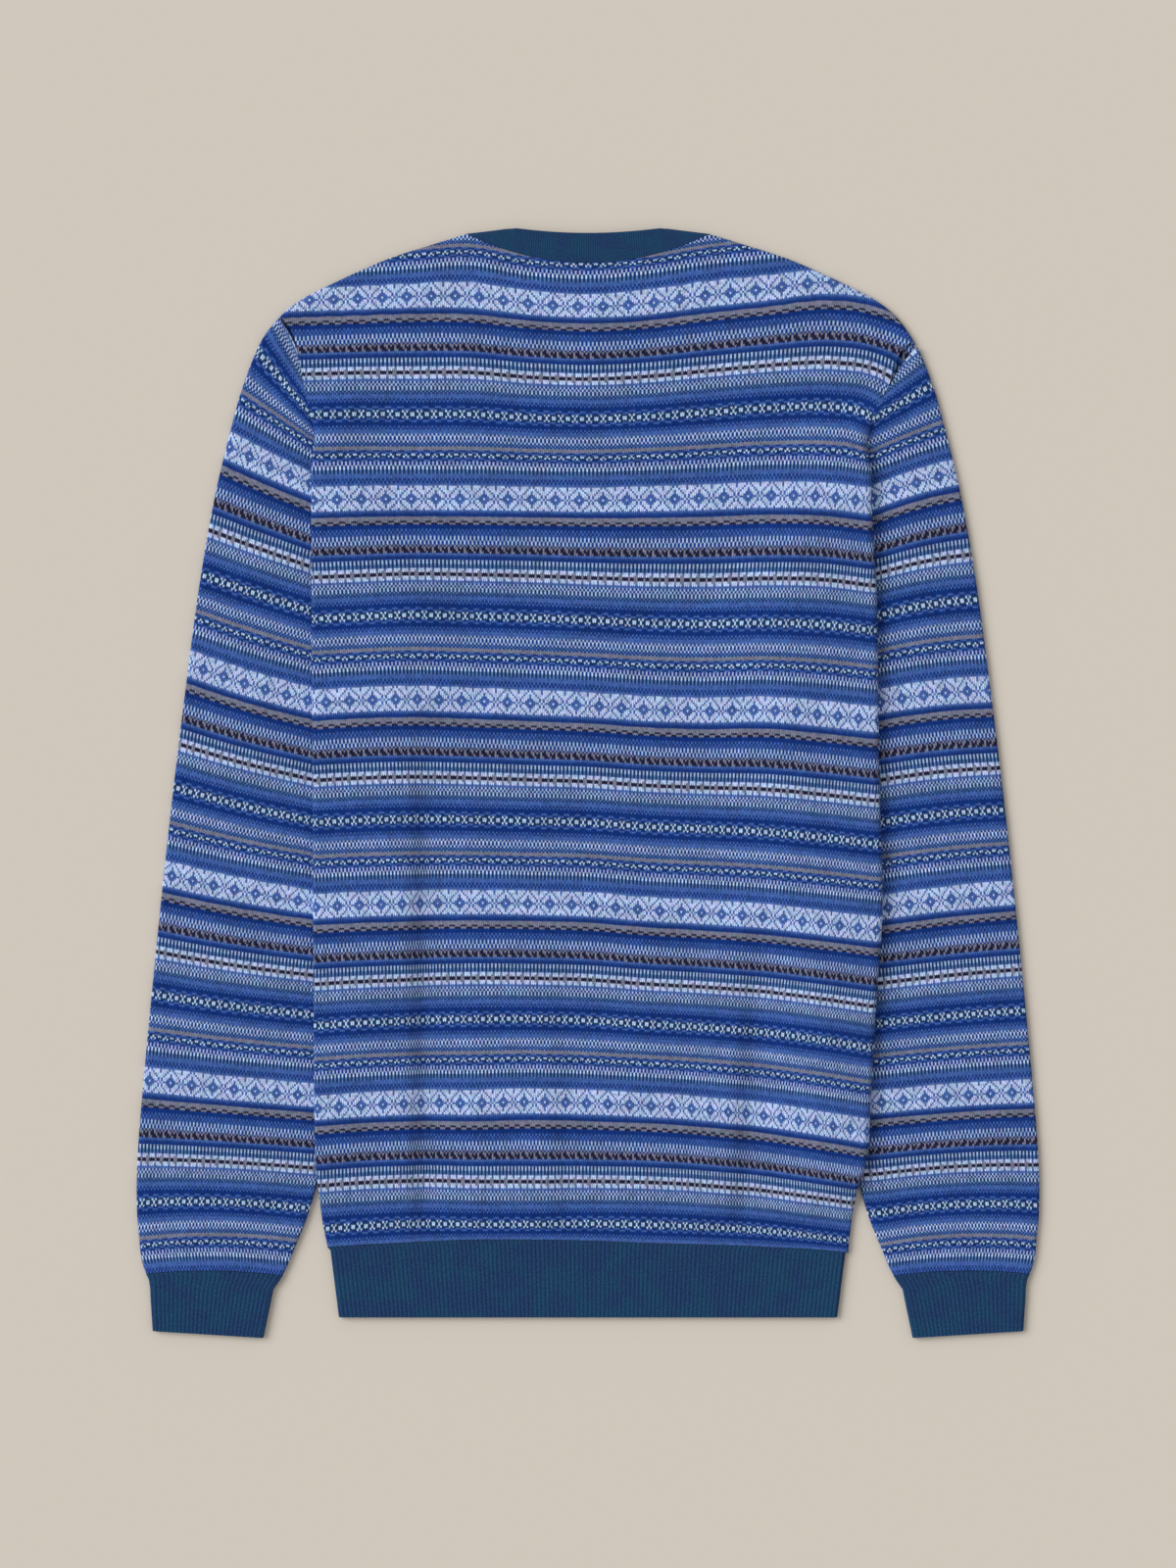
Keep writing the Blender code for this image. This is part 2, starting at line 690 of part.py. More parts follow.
def make_ribbed_tube(name, rings, height, flip):
    """A flattened ribbed tube through the rings, its ribs standing out of a plain wall."""
    base = RIB_HEIGHT
    core = height - 2 * RIB_HEIGHT
    widths = [math.hypot(r.outer_x - r.inner_x, r.outer_y - r.inner_y) for r in rings]
    count = rib_count(sum(widths) / len(widths) * 2)
    rows = []
    for ring in rings:
        ends = (ring.outer_x, ring.outer_y), (ring.inner_x, ring.inner_y)
        rows.append(flat_ring(*ends, core, base, count))
    sheet = make_sheet(rows, range(len(rows)))
    if flip:
        bmesh.ops.reverse_faces(sheet, faces=sheet.faces)
    sheet.normal_update()
    edges = [
        (range(i * count, (i + 1) * count), across_ring(rings[i])) for i in (0, len(rings) - 1)
    ]
    return make_cloth(name, sheet, TEAL, RIB_WALL, count, edges)


def make_hem():
    """The hem's rib, sewn below the front and back."""
    edge = BODY_EDGES[0]
    top = HEM_SEAM_Y - SEAM_GAP
    low = HEM_SEAM_Y - HEM_HEIGHT
    inset, drop = HEM_SHOULDER
    rings = (
        Ring(-edge.left, top, edge.right, top),
        Ring(inset - edge.left, top - drop, edge.right - inset, top - drop),
        Ring(-HEM_HALF_WIDTH, low, HEM_HALF_WIDTH, low),
    )
    return make_ribbed_tube("hem_rib", rings, BODY_HEIGHT + RIB_STAND, flip=False)


def make_cuff(side):
    """A cuff, sewn below its sleeve."""
    sign = -1 if side == "left" else 1
    rings = [
        Ring(sign * r.outer_x, r.outer_y - SEAM_GAP, sign * r.inner_x, r.inner_y - SEAM_GAP)
        for r in CUFF_RINGS[:1]
    ]
    rings += [
        Ring(sign * r.outer_x, r.outer_y, sign * r.inner_x, r.inner_y) for r in CUFF_RINGS[1:]
    ]
    return make_ribbed_tube(f"{side}_cuff", rings, SLEEVE_HEIGHT + RIB_STAND, flip=side == "right")


def collar_pair(t, half):
    """The collar's seam point and free point in plan. t runs from -1 to 1 across one half."""
    corner_x = NECK_CORNER[0]
    peak_x, peak_y = COLLAR_PEAK
    if half == "back":
        neck_y, free_y, power = back_neck_y, COLLAR_DIP_Y, 2.0
    else:
        neck_y, free_y, power = front_neck_y, FRONT_COLLAR_Y, FRONT_NECK_POWER
    x = corner_x * t
    y = neck_edge_y(x, neck_y)
    lean = 1 - min(fold_distance(x, y, SHOULDER_FOLD) / (BODY_HEIGHT / 2), 1.0)
    seam = Vector((x, y + SEAM_GAP / 2 + (RIB_WALL + SEAM_GAP) * lean))
    free = Vector((peak_x * t, mix(free_y, peak_y, abs(t) ** power)))
    return seam, free


def collar_places():
    """Evenly spaced places round the collar, as (t, half) pairs, two for each rib."""
    fine = 400
    loop = [(-math.cos(math.pi * k / fine), "back") for k in range(fine)]
    loop += [(math.cos(math.pi * k / fine), "front") for k in range(fine)]
    loop.append(loop[0])
    middles = [sum(collar_pair(*place), Vector((0.0, 0.0))) / 2 for place in loop]
    lengths = [0.0]
    for a, b in zip(middles, middles[1:]):
        lengths.append(lengths[-1] + (b - a).length)
    count = rib_count(lengths[-1])
    places = []
    for k in range(count):
        i = bisect_right(lengths, lengths[-1] * k / count) - 1
        places.append(loop[i])
    return places


def make_collar():
    """The collar's rib: a band round the neck, folded over at both shoulders."""
    corner = collar_pair(1.0, "back")[0]
    fold_line = (Outline(*COLLAR_PEAK), Outline(*corner))
    low, high = RIB_HEIGHT, BODY_HEIGHT - RIB_HEIGHT
    radius = (high - low) / 2
    middle = (high + low) / 2
    rows = [[], []]
    places = collar_places()
    for t, half in places:
        sign = 1 if half == "back" else -1
        for row, place in zip(rows, collar_pair(t, half)):
            turn = roundness(fold_distance(*place, fold_line), radius)
            row.append((*place, middle + sign * radius * turn))
    sheet = make_sheet(rows, (0, 1))
    return make_cloth("collar", sheet, TEAL, RIB_WALL, len(places))


def main():
    for old in list(bpy.data.objects):
        bpy.data.objects.remove(old, do_unlink=True)
    collection = bpy.data.collections.new(COLLECTION_NAME)
    bpy.context.scene.collection.children.link(collection)
    make_back()
    make_front()
    for side in ("left", "right"):
        make_sleeve(side)
        make_cuff(side)
    make_collar()
    make_hem()


main()
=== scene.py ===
# %% [markdown]
# # A fair isle jumper, laid flat
# The jumper lies with its back up, and each sleeve lies beside the body, tucked below its edge.
# It has eight knitted pieces: back, front, two sleeves, and ribs at the neck, hem and cuffs.
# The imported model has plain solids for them. Here each one is made again as a sheet of fine
# knitting, with a map that numbers its stitches and rows, so that one chart colours them all.

# %% Load the frame
import math
from bisect import bisect_right
from collections import namedtuple

import bpy
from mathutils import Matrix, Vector


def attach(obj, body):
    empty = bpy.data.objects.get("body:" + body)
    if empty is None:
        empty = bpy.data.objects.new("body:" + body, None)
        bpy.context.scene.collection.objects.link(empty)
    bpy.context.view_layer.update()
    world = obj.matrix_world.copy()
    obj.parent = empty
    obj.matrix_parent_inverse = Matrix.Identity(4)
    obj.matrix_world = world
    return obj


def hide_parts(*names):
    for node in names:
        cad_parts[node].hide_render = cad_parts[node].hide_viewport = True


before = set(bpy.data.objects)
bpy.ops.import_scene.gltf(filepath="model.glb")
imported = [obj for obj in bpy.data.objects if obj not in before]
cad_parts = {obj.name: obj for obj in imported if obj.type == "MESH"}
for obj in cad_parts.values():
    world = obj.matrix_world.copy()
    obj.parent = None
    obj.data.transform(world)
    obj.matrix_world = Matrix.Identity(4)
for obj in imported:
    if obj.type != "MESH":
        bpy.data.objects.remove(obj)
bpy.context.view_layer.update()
MM = 0.001

# %% [markdown]
# ## Curves and steps
# A knitted outline is a smooth curve through a few measured places. A cubic curve through the
# rows of a small table gives every place between them, and keeps the numbers few enough to read.
# Where one form passes into another, an eased step keeps the cloth free of creases.

# %% Smooth values


def curve(places, values, place):
    """The smooth value at a place. It goes on straight beyond both ends."""
    last = len(places) - 2
    k = min(max(bisect_right(places, place) - 1, 0), last)

    def slope(i):
        low, high = max(i - 1, 0), min(i + 1, last + 1)
        return (values[high] - values[low]) / (places[high] - places[low])

    if place < places[0]:
        return values[0] + (place - places[0]) * slope(0)
    if place > places[-1]:
        return values[-1] + (place - places[-1]) * slope(last + 1)
    span = places[k + 1] - places[k]
    t = (place - places[k]) / span
    start = (1 + 2 * t) * (1 - t) ** 2 * values[k] + t * (1 - t) ** 2 * span * slope(k)
    end = t * t * (3 - 2 * t) * values[k + 1] - t * t * (1 - t) * span * slope(k + 1)
    return start + end


def table(columns, *rows):
    """Rows that give their values by the columns' names."""
    made = namedtuple("Row", columns)
    return [made(*row) for row in rows]


def along(rows, place, column):
    """A column of a table, held at its first and last value."""
    places = [row[0] for row in rows]
    place = min(max(place, places[0]), places[-1])
    return curve(places, [getattr(row, column) for row in rows], place)


def ease(value, low, high):
    """0 at low and 1 at high, softly. low may be the larger."""
    t = min(max((value - low) / (high - low), 0.0), 1.0)
    return t * t * (3 - 2 * t)


def mix(a, b, t):
    """The value a share t of the way from a to b."""
    return a + (b - a) * t


print("half way up a soft step:", ease(0.5, 0.0, 1.0))

# %% [markdown]
# ## The jumper's measures
# All of these are in millimetres from the middle of the outline. The left side is where x is
# negative, and y grows towards the neck. The tables hold the outline at a few heights.

# %% Heights and outlines
SIDES = {"left": -1, "right": 1}

# The cloth and the ribs: how thick they are, and how far apart the ribs lie.
WALL = 1.6
RIB_WALL = 1.3
RIB_HEIGHT = 0.35
RIBS_STAND_OUT = 0.2
RIB_PITCH = 2.7
COLLAR_RIB_PITCH = 1.45
SEAM_GAP = 0.3

# How high the layers lie, and how the body's sides rise, roll over the sleeves and press on them.
BODY_HEIGHT = 4.6
SLEEVE_HEIGHT = 4.4
EDGE_LIFT = {"left": SLEEVE_HEIGHT + SEAM_GAP, "right": SLEEVE_HEIGHT + SEAM_GAP + 0.8}
EDGE_PUFF = {"left": 0.0, "right": 3.0}
CROWN = 1.7
HEM_FADE, NECK_FADE = 30.0, 80.0
RIPPLE_HEIGHT = 0.22
SLEEVE_PUFF = 0.9
EDGE_PRESS = {"left": 0.2, "right": 0.8}
PRESS_REACH = 16.0
SHOULDER_Y = {"left": 293.5, "right": 275.0}
ROLL_TOP = {"left": 242.0, "right": 238.0}
ROLL_LENGTH = 46.0
RISE_ABOVE, RISE_BELOW = 22.0, 18.0
LIFT_END = (-268.0, -246.0)
EDGE_SLOPE = 62.0
SEAM_SLOPE = 24.0
FRONT_RISE = (122.0, 64.0)
ROLL_ROOM = 1.2
ARMHOLE_GAP = 0.05
LEAST_RETURN = 1.0
LEAST_TURN = 0.001
HAIR = 0.1
SLEEVE_SLANT = 1.0

# The underarm, the hem and the neck with its collar.
UNDERARM_Y = 98.0
HEM_SEAM_Y = -290.2
NECK_CORNER = (77.0, 346.3)
NECK_Y = {"back": 328.0, "front": 262.0}
NECK_POWER = {"back": 2.0, "front": 2.6}
COLLAR_PEAK = (47.5, 350.2)
COLLAR_FOLD_X = 62.0
COLLAR_DIP_Y = 346.9
FRONT_COLLAR_Y = 282.0
HEM_HEIGHT = 48.0
HEM_HALF_WIDTH = 157.2
HEM_SHOULDER_IN, HEM_SHOULDER_DOWN = 2.0, 4.0

SHOULDER = table(
    "x y",
    (77, 346.3), (102, 338.6), (123.4, 331.7), (143, 323.6), (168.3, 311.7), (183.2, 303.6),
    (195.3, 293.5), (204, 281.6), (207.6, 275),
)

BODY_EDGES = table(
    "y left right",
    (-290.2, 164.6, 164.4), (-274, 168, 166.3), (-255, 170.3, 170), (-237, 172.2, 176),
    (-200, 172.8, 178.2), (-138, 173.2, 181.8), (-78, 173.6, 185.8), (0, 174, 183.7),
    (110, 174.5, 182.3), (185, 174.8, 178.6), (224, 174.8, 179.6),
)

ARMHOLES = table(
    "y left right",
    (98, 120, 120), (140, 141, 142), (180, 160, 163), (205, 170.3, 174.3), (224, 175, 179.8),
    (240, 177.3, 185.7), (259, 181, 195.3), (275, 184.6, 207), (293.5, 194.8, 221),
)

SIDE_SEAM = table(
    "y out",
    (-290.2, 161), (-250, 158.5), (-180, 152), (-100, 142), (0, 128), (98, 118),
)

SLEEVE_OUTER = table(
    "y out",
    (-310.6, 279.3), (-305.7, 281.2), (-298.2, 282.8), (-287.1, 283.8), (-274, 285),
    (-249.2, 285.2), (-212, 283), (-112.8, 273.7), (-13.6, 263.2), (85.6, 251), (135.2, 244),
    (184.8, 235), (222, 226), (246.8, 219.3), (271.6, 210), (283, 204), (293.5, 195.3),
)
SLEEVE_INNER = table(
    "y out",
    (-311.6, 193), (-305.7, 189.9), (-298.2, 186.9), (-287.1, 182.2), (-275.9, 177.8),
    (-264.8, 174.3), (-254, 171.2), (-240, 168.6), (-225, 165.5), (-100, 149), (98, 120),
)

RING_COLUMNS = "outer_x outer_y inner_x inner_y"
CUFF_RINGS = table(
    RING_COLUMNS,
    (279.2, -310.9, 193, -311.9),
    (277.4, -314.6, 195.2, -315.6),
    (276.6, -320, 199, -321),
    (276.3, -327, 200.6, -328.6),
    (274.9, -346.9, 205.4, -351.2),
)
print("the body's widest place:", 2 * max(row.right for row in BODY_EDGES), "mm")

# %% [markdown]
# ## Where each row of knitting runs
# The bands across the jumper aren't straight: they dip between the shoulders and sag towards
# the sides. Each line here is one row of stitches, given by how high it lies at eleven places
# across the body, or by its two ends on a sleeve. The rows are counted downwards, and a place
# between two lines gets its row number from both.

# %% Rows and stitches on the body
PLACES_ACROSS = [37.2 * k for k in range(-5, 6)]
BODY_ROWS = table(
    "number heights",
    (-18, (335, 335.5, 337, 339, 333, 331, 332.5, 338.5, 343, 345.5, 344.5)),
    (-9, (323, 323.5, 325.5, 328, 321.5, 319.5, 322.5, 328.5, 332, 334.5, 332.5)),
    (6.5, (304, 305, 306.5, 306.5, 302, 300, 302, 307, 311, 315.5, 313)),
    (55, (241.5, 242.5, 242.5, 242.5, 240, 239, 240.5, 243.5, 246.5, 248, 245)),
    (103.5, (177, 178, 178.5, 178.5, 178, 177.5, 178, 179, 180.5, 179.5, 175)),
    (152, (112.5, 114, 115.5, 115, 114, 112.5, 111, 110.5, 111, 110, 105.5)),
    (200.5, (48.5, 51, 52, 51, 49.5, 48, 45.5, 44.5, 45, 42, 38)),
    (249, (-16, -14, -13, -13.5, -14.5, -15.5, -18, -19.5, -21, -24.5, -29)),
    (297.5, (-80, -78, -77, -76.5, -77, -78, -81, -83, -85.5, -89.5, -94)),
    (346, (-144.5, -142, -140.5, -139.5, -139.5, -140.5, -143, -145, -148, -152.5, -158.5)),
    (394.5, (-207.5, -204.5, -203, -203, -202, -203, -204.5, -207, -211, -216, -222.5)),
    (430, (-255, -252, -250.5, -251, -251, -251, -251.5, -253.5, -257, -262, -267.5)),
    (450, (-283, -280, -278, -278.5, -278.5, -278, -278.5, -280, -282.5, -287, -292)),
    (460, (-295.5, -292.5, -290.5, -289, -289, -289.5, -291, -292, -293.5, -295.5, -299.5)),
)
EVEN_NUMBERS = [row.number for row in BODY_ROWS]

# The lines above count rows of even height. Some of the chart's bands are knitted a little
# looser than others, so each repeat has its rows shifted, from the even number to the row's own.
REPEAT = 97
BAND_ROWS = table(
    "even number",
    (0.2, 0), (11.6, 12), (15, 15), (19.6, 20), (24.3, 24), (28.3, 28), (40, 39), (44.7, 44),
    (51.3, 50), (59.45, 58.5), (65.6, 65), (72.5, 72.5), (77.35, 77), (83.4, 84), (93.8, 94.5),
    (97.2, 97),
)

# How far across the middles of some snowflakes are, at the five bands that hold them. They
# are counted from the middle, and come closer together in the soft folds near the hem.
SNOWFLAKES = (-12, -9, -8, -7, -4, 0, 4, 6, 9, 12)
FLAKE_STITCHES, FLAKE_MIDDLE = 12, 5.5
FLAKE_ROWS = table(
    "y across",
    (-203, (-157, -116, -105.5, -94, -53.5, -1, 53, 77, 111, 143.5)),
    (-80, (-158, -117, -106, -95, -52, 3.5, 59, 84.5, 123.5, 159.5)),
    (48, (-165, -121, -107.5, -94, -51, 7, 63, 91, 131.5, 171)),
    (178, (-173.5, -127.5, -111.5, -96, -50.5, 9.5, 70, 101, 143, 181)),
    (304, (-176, -130, -114.5, -99, -53.5, 9.5, 74, 106, 155, 203.5)),
)

# Soft folds hang into the hem. In each the cloth drops from a low ridge into a trough on its
# right, over a narrow step. The step's middle may lean on its way down.
BODY_FOLDS = table(
    "top_x top bottom_x bottom step ridge trough",
    (-108, 90, -108, -290, 13, 1.8, 2.6),
    (-18, -110, -20, -290, 13, 1.6, 1.5),
    (108, -20, 92, -290, 15, 1.8, 2.6),
)
FOLD_RIDGE_REACH, FOLD_TROUGH_REACH = 2.6, 3.0

# Beside the right shoulder the rows bend down: from where, how sharply, and between which heights.
DROOP_START, DROOP_START_HEIGHTS, DROOP_START_SHIFT = (160.0, 170.0), (225.0, 258.0), 5.0
DROOP_BEND = (0.014, 0.006)
DROOP_HEIGHTS, DROOP_TOP_HEIGHTS = (185.0, 215.0), (252.0, 275.0)


def hem_hang(x):
    """How far the hem's seam is from straight: it hangs a little lower at the sides."""
    return curve(PLACES_ACROSS, BODY_ROWS[-1].heights, x) - HEM_SEAM_Y


def edge_droop(x, y):
    """How far a row bends down beside the right shoulder."""
    near_top = ease(y, *DROOP_TOP_HEIGHTS)
    start = mix(*DROOP_START, ease(y, *DROOP_START_HEIGHTS)) - DROOP_START_SHIFT * near_top
    return mix(*DROOP_BEND, near_top) * max(x - start, 0.0) ** 2 * ease(y, *DROOP_HEIGHTS)


def real_row(even):
    """The number of a row, from its number among rows of even height."""
    repeats = math.floor((even - BAND_ROWS[0].even) / REPEAT)
    return repeats * REPEAT + along(BAND_ROWS, even - repeats * REPEAT, "number")


def body_row(x, y):
    """The number of the knitted row at a place on the body."""
    y += edge_droop(x, y)
    heights = [-curve(PLACES_ACROSS, row.heights, x) for row in BODY_ROWS]
    return real_row(curve(heights, EVEN_NUMBERS, -y))


def body_stitch(x, y):
    """The number of the stitch at a place on the body, counted from the middle."""
    y = min(max(y, FLAKE_ROWS[0].y), FLAKE_ROWS[-1].y)
    heights = [row.y for row in FLAKE_ROWS]
    across = [
        curve(heights, [row.across[k] for row in FLAKE_ROWS], y) for k in range(len(SNOWFLAKES))
    ]
    return curve(across, SNOWFLAKES, x) * FLAKE_STITCHES + FLAKE_MIDDLE


print("rows at the collar and the hem:", body_row(0.0, 326.0), body_row(0.0, -289.5))

# %% [markdown]
# ## The rows of the sleeves
# A set-in sleeve's rows fan out round its cap and then run across it, from the outer fold to the
# inner one. Between two of these lines a place gets a share of both, by its distance from them.

# %% Rows and stitches on the sleeves
SLEEVE_COLUMNS = "number outer inner rise first width"
SLEEVE_ROWS = {
    "left": table(
        SLEEVE_COLUMNS,
        (30, (-181.7, 319.3), (-176.3, 281.7), 0, -8, 1.28),
        (48, (-195.7, 292), (-177.9, 256.5), 0, -7.5, 1.26),
        (62, (-206.1, 271), (-179.2, 238.1), 0, -7, 1.24),
        (79, (-217.6, 246.5), (-175.8, 218.5), 0, -6.3, 1.20),
        (103.5, (-225.1, 211), (-174.8, 188.5), -0.6, -5.5, 1.165),
        (152, (-237.7, 140), (-174.5, 119), -0.4, -3.3, 1.155),
        (200.5, (-250.2, 73.5), (-174.2, 50.8), -1.5, -1.2, 1.145),
        (249, (-258.7, 7), (-173.9, -14.5), -1.2, 0.2, 1.137),
        (297.5, (-267.2, -58.5), (-173.6, -76.5), -1.2, 1.5, 1.128),
        (346, (-273.7, -123.5), (-173.3, -137.2), -1.1, 2.1, 1.124),
        (394.5, (-280.2, -188.5), (-173, -198.5), -0.5, 2.6, 1.12),
        (430, (-282.5, -237), (-178.1, -242.4), 0.9, 2.9, 1.10),
        (467, (-284.9, -288.5), (-183.5, -289.5), 3.5, 3.1, 1.06),
        (483.8, (-279.3, -310.6), (-193, -311.6), 2.7, 3.2, 1),
    ),
    "right": table(
        SLEEVE_COLUMNS,
        (48, (211.1, 270.3), (192.6, 255.6), 0, -1.5, 1.27),
        (62, (216.7, 252), (184.8, 232.8), 0, -2, 1.25),
        (79, (223.8, 227.5), (183.5, 211.4), 0.5, -2.5, 1.24),
        (103.5, (231.6, 195), (179.8, 179), 1.5, -3.1, 1.21),
        (152, (241.6, 126), (179.5, 114.8), 1.8, -4.2, 1.19),
        (200.5, (251.7, 57.5), (179.2, 49), 1.7, -5, 1.155),
        (249, (259.8, -7.5), (182.6, -15.5), 1.3, -4.9, 1.145),
        (297.5, (267.8, -70.6), (186, -80), 0.8, -4.9, 1.117),
        (346, (274.4, -134.5), (182.9, -143), 0.8, -5.3, 1.13),
        (394.5, (280.9, -195.8), (179.8, -203.2), 1, -5.8, 1.149),
        (430, (282.4, -240.8), (182.5, -246.6), 1.9, -5.9, 1.12),
        (467, (284, -288.2), (185.4, -292.1), 4, -6, 1.06),
        (483.8, (279.3, -310.6), (193, -311.6), 2.7, -6, 1),
    ),
}
CUFF_SEAM_RISE = 2.7


def from_line(line, x, y):
    """How far a place is below a row's line, and how far along it from the outer fold."""
    start = Vector(line.outer)
    run = Vector(line.inner) - start
    offset = Vector((x, y)) - start
    ahead = offset.dot(run) / run.length
    t = min(max(ahead / run.length, 0.0), 1.0)
    below = Vector((run.y, -run.x)) if run.x > 0 else Vector((-run.y, run.x))
    return offset.dot(below) / run.length + line.rise * 4 * t * (1 - t), ahead


def sleeve_place(x, y, side):
    """The stitch, counted from the outer fold, and the row at a place on a sleeve."""
    lines = SLEEVE_ROWS[side]
    found = [from_line(line, x, y) for line in lines]
    k = sum(1 for below, ahead in found[1:-1] if below > 0)
    (high, ahead), (low, next_ahead) = found[k], found[k + 1]
    t = high / max(high - low, 0.1)
    first = lines[k].first + ahead / lines[k].width
    last = lines[k + 1].first + next_ahead / lines[k + 1].width
    number = mix(lines[k].number, lines[k + 1].number, t)
    return mix(first, last, min(max(t, 0.0), 1.0)), real_row(number)


print("a place on the left sleeve:", sleeve_place(-230.0, 0.0, "left"))

# %% [markdown]
# ## The form of the body
# The body is two layers of cloth. Its sides roll over the sleeves: the back's cloth leaves the
# top, turns down through half a circle and runs back to the side seam, which lies underneath.
# The right edge is fuller than the left one and lies a little higher.

# %% Heights of the back and front


def rolled(y, side):
    """How far the body's edge rolls over the sleeve, up to half a turn at 1."""
    return ease(y, ROLL_TOP[side], ROLL_TOP[side] - ROLL_LENGTH)


def edge_lift(y, side):
    """How high the body's edge lies over the surface."""
    rise = ease(y, ROLL_TOP[side] + RISE_ABOVE, ROLL_TOP[side] - RISE_BELOW)
    return EDGE_LIFT[side] * rise * ease(y, *LIFT_END)


def edge_height(y, side):
    """How thick the body is at its rolled edge."""
    return BODY_HEIGHT + EDGE_PUFF[side] * rolled(y, side) * ease(y, *LIFT_END)


def seam_out(y, side):
    """The armhole seam, or the side seam below the underarm, out from the middle."""
    if y < UNDERARM_Y - HAIR:
        return along(SIDE_SEAM, y, "out")
    flat = along(ARMHOLES, y, side)
    radius = edge_height(y, side) / 2
    under = min(flat, along(BODY_EDGES, y, side) - radius - LEAST_RETURN)
    return mix(flat, under, rolled(y, side))


def shoulder_y(x):
    """The height of the shoulder's outline, out from the neck."""
    return along(SHOULDER, abs(x), "y")


FOLD_STEPS_ACROSS = 60
FAR_FROM_FOLD = 10.0
SHOULDER_FOLD = [COLLAR_PEAK]
for step in range(FOLD_STEPS_ACROSS + 1):
    fold_x = mix(SHOULDER[0].x, SHOULDER[-1].x, step / FOLD_STEPS_ACROSS)
    SHOULDER_FOLD.append((fold_x, shoulder_y(fold_x)))


def fold_distance(x, y, line):
    """How far a point lies from a line of points on which the cloth folds."""
    best = math.inf
    for (start_x, start_y), (end_x, end_y) in zip(line, line[1:]):
        run = Vector((end_x - start_x, end_y - start_y))
        offset = Vector((abs(x) - start_x, y - start_y))
        t = min(max(offset.dot(run) / run.dot(run), 0.0), 1.0)
        best = min(best, (offset - t * run).length)
    return best


def shoulder_distance(x, y):
    """How far a point lies from the fold along the shoulders."""
    if shoulder_y(x) - y > FAR_FROM_FOLD:
        return FAR_FROM_FOLD
    return fold_distance(x, y, SHOULDER_FOLD)


def roundness(distance, radius):
    """0 on a fold and 1 from one radius inside it, along a quarter circle."""
    t = min(distance / radius, 1.0)
    return math.sqrt(max(1 - (1 - t) ** 2, 0.0))


def fold_rise(x, y):
    """The height that the back's soft folds add. It is less than 0 in a trough."""
    rise = 0.0
    for fold in BODY_FOLDS:
        length = (fold.top - y) / (fold.top - fold.bottom)
        across = (x - mix(fold.top_x, fold.bottom_x, length)) / fold.step
        if across < -0.5:
            wave = fold.ridge * ease(across, -FOLD_RIDGE_REACH, -0.5)
        elif across > 0.5:
            wave = -fold.trough * ease(across, FOLD_TROUGH_REACH, 0.5)
        else:
            wave = mix(fold.ridge, -fold.trough, ease(across, -0.5, 0.5))
        rise += wave * ease(length, 0.0, 0.5)
    return rise * ease(y, HEM_SEAM_Y, HEM_SEAM_Y + HEM_FADE)


RIPPLES = table(
    "height across slant shift up lean",
    (1.0, 23.0, 61.0, 0.0, 37.0, -83.0), (0.6, 11.0, -47.0, 1.3, 29.0, 51.0),
)


def ripple(x, y):
    """Long low waves run across the cloth, none higher than its wall."""
    height = 0.0
    for wave in RIPPLES:
        across = wave.height * math.sin(x / wave.across + y / wave.slant + wave.shift)
        height += across * math.sin(y / wave.up + x / wave.lean)
    return RIPPLE_HEIGHT * height


def back_height(x, y):
    """The height of the back's outer face, before its shoulders round off."""
    side = "left" if x < 0 else "right"
    out = abs(x)
    inner = seam_out(y, side) if y > UNDERARM_Y else along(SLEEVE_INNER, y, "out")
    lift = edge_lift(y, side) + edge_height(y, side) - BODY_HEIGHT
    lift *= ease(out, inner - EDGE_SLOPE, inner)
    edge = along(BODY_EDGES, y, side)
    crown = ease(out, edge, edge - EDGE_SLOPE) * ease(y, HEM_SEAM_Y, HEM_SEAM_Y + HEM_FADE)
    crown *= ease(y, NECK_Y["back"], NECK_Y["back"] - NECK_FADE)
    return BODY_HEIGHT + lift + (CROWN + ripple(x, y)) * crown + fold_rise(x, y)


def rounded_off(x, y, height, gap):
    """A height, turned in at the shoulder's fold to half the body's height."""
    turn = roundness(shoulder_distance(x, y), BODY_HEIGHT / 2)
    return mix(BODY_HEIGHT / 2 + gap / 2, height, turn)


def back_z(x, y):
    """The height of the back's outer face."""
    return rounded_off(x, y, back_height(x, y), SEAM_GAP)


def front_z(x, y):
    """The height of the front's outer face, which rests on the surface."""
    side = "left" if x < 0 else "right"
    edge = seam_out(y, side)
    lift = edge_lift(y, side) * ease(y, *FRONT_RISE)
    return rounded_off(x, y, lift * ease(abs(x), edge - SEAM_SLOPE, edge), -SEAM_GAP)


LOWERED_BELOW = -225.0


def lowered(x, y):
    """A place's y, lowered near the hem so that the lowest row follows the hem's seam."""
    return y + hem_hang(x) * ease(y, LOWERED_BELOW, HEM_SEAM_Y)


print("the back is", round(back_height(0.0, 0.0), 2), "mm high in its middle")

# %% [markdown]
# ## From rows of points to a piece of cloth
# A knitted piece could be a plane that is pushed about, but its outline is curved on every side.
# So each piece is written as rows of points, from its lower edge up, joined by four-sided faces.
# Every point brings the number of its stitch and row, which becomes the piece's UV map. Solidify
# then gives the sheet its wall, inwards from the outer face.

# %% A sheet with its wall
SMOOTH_BELOW = math.radians(50.0)


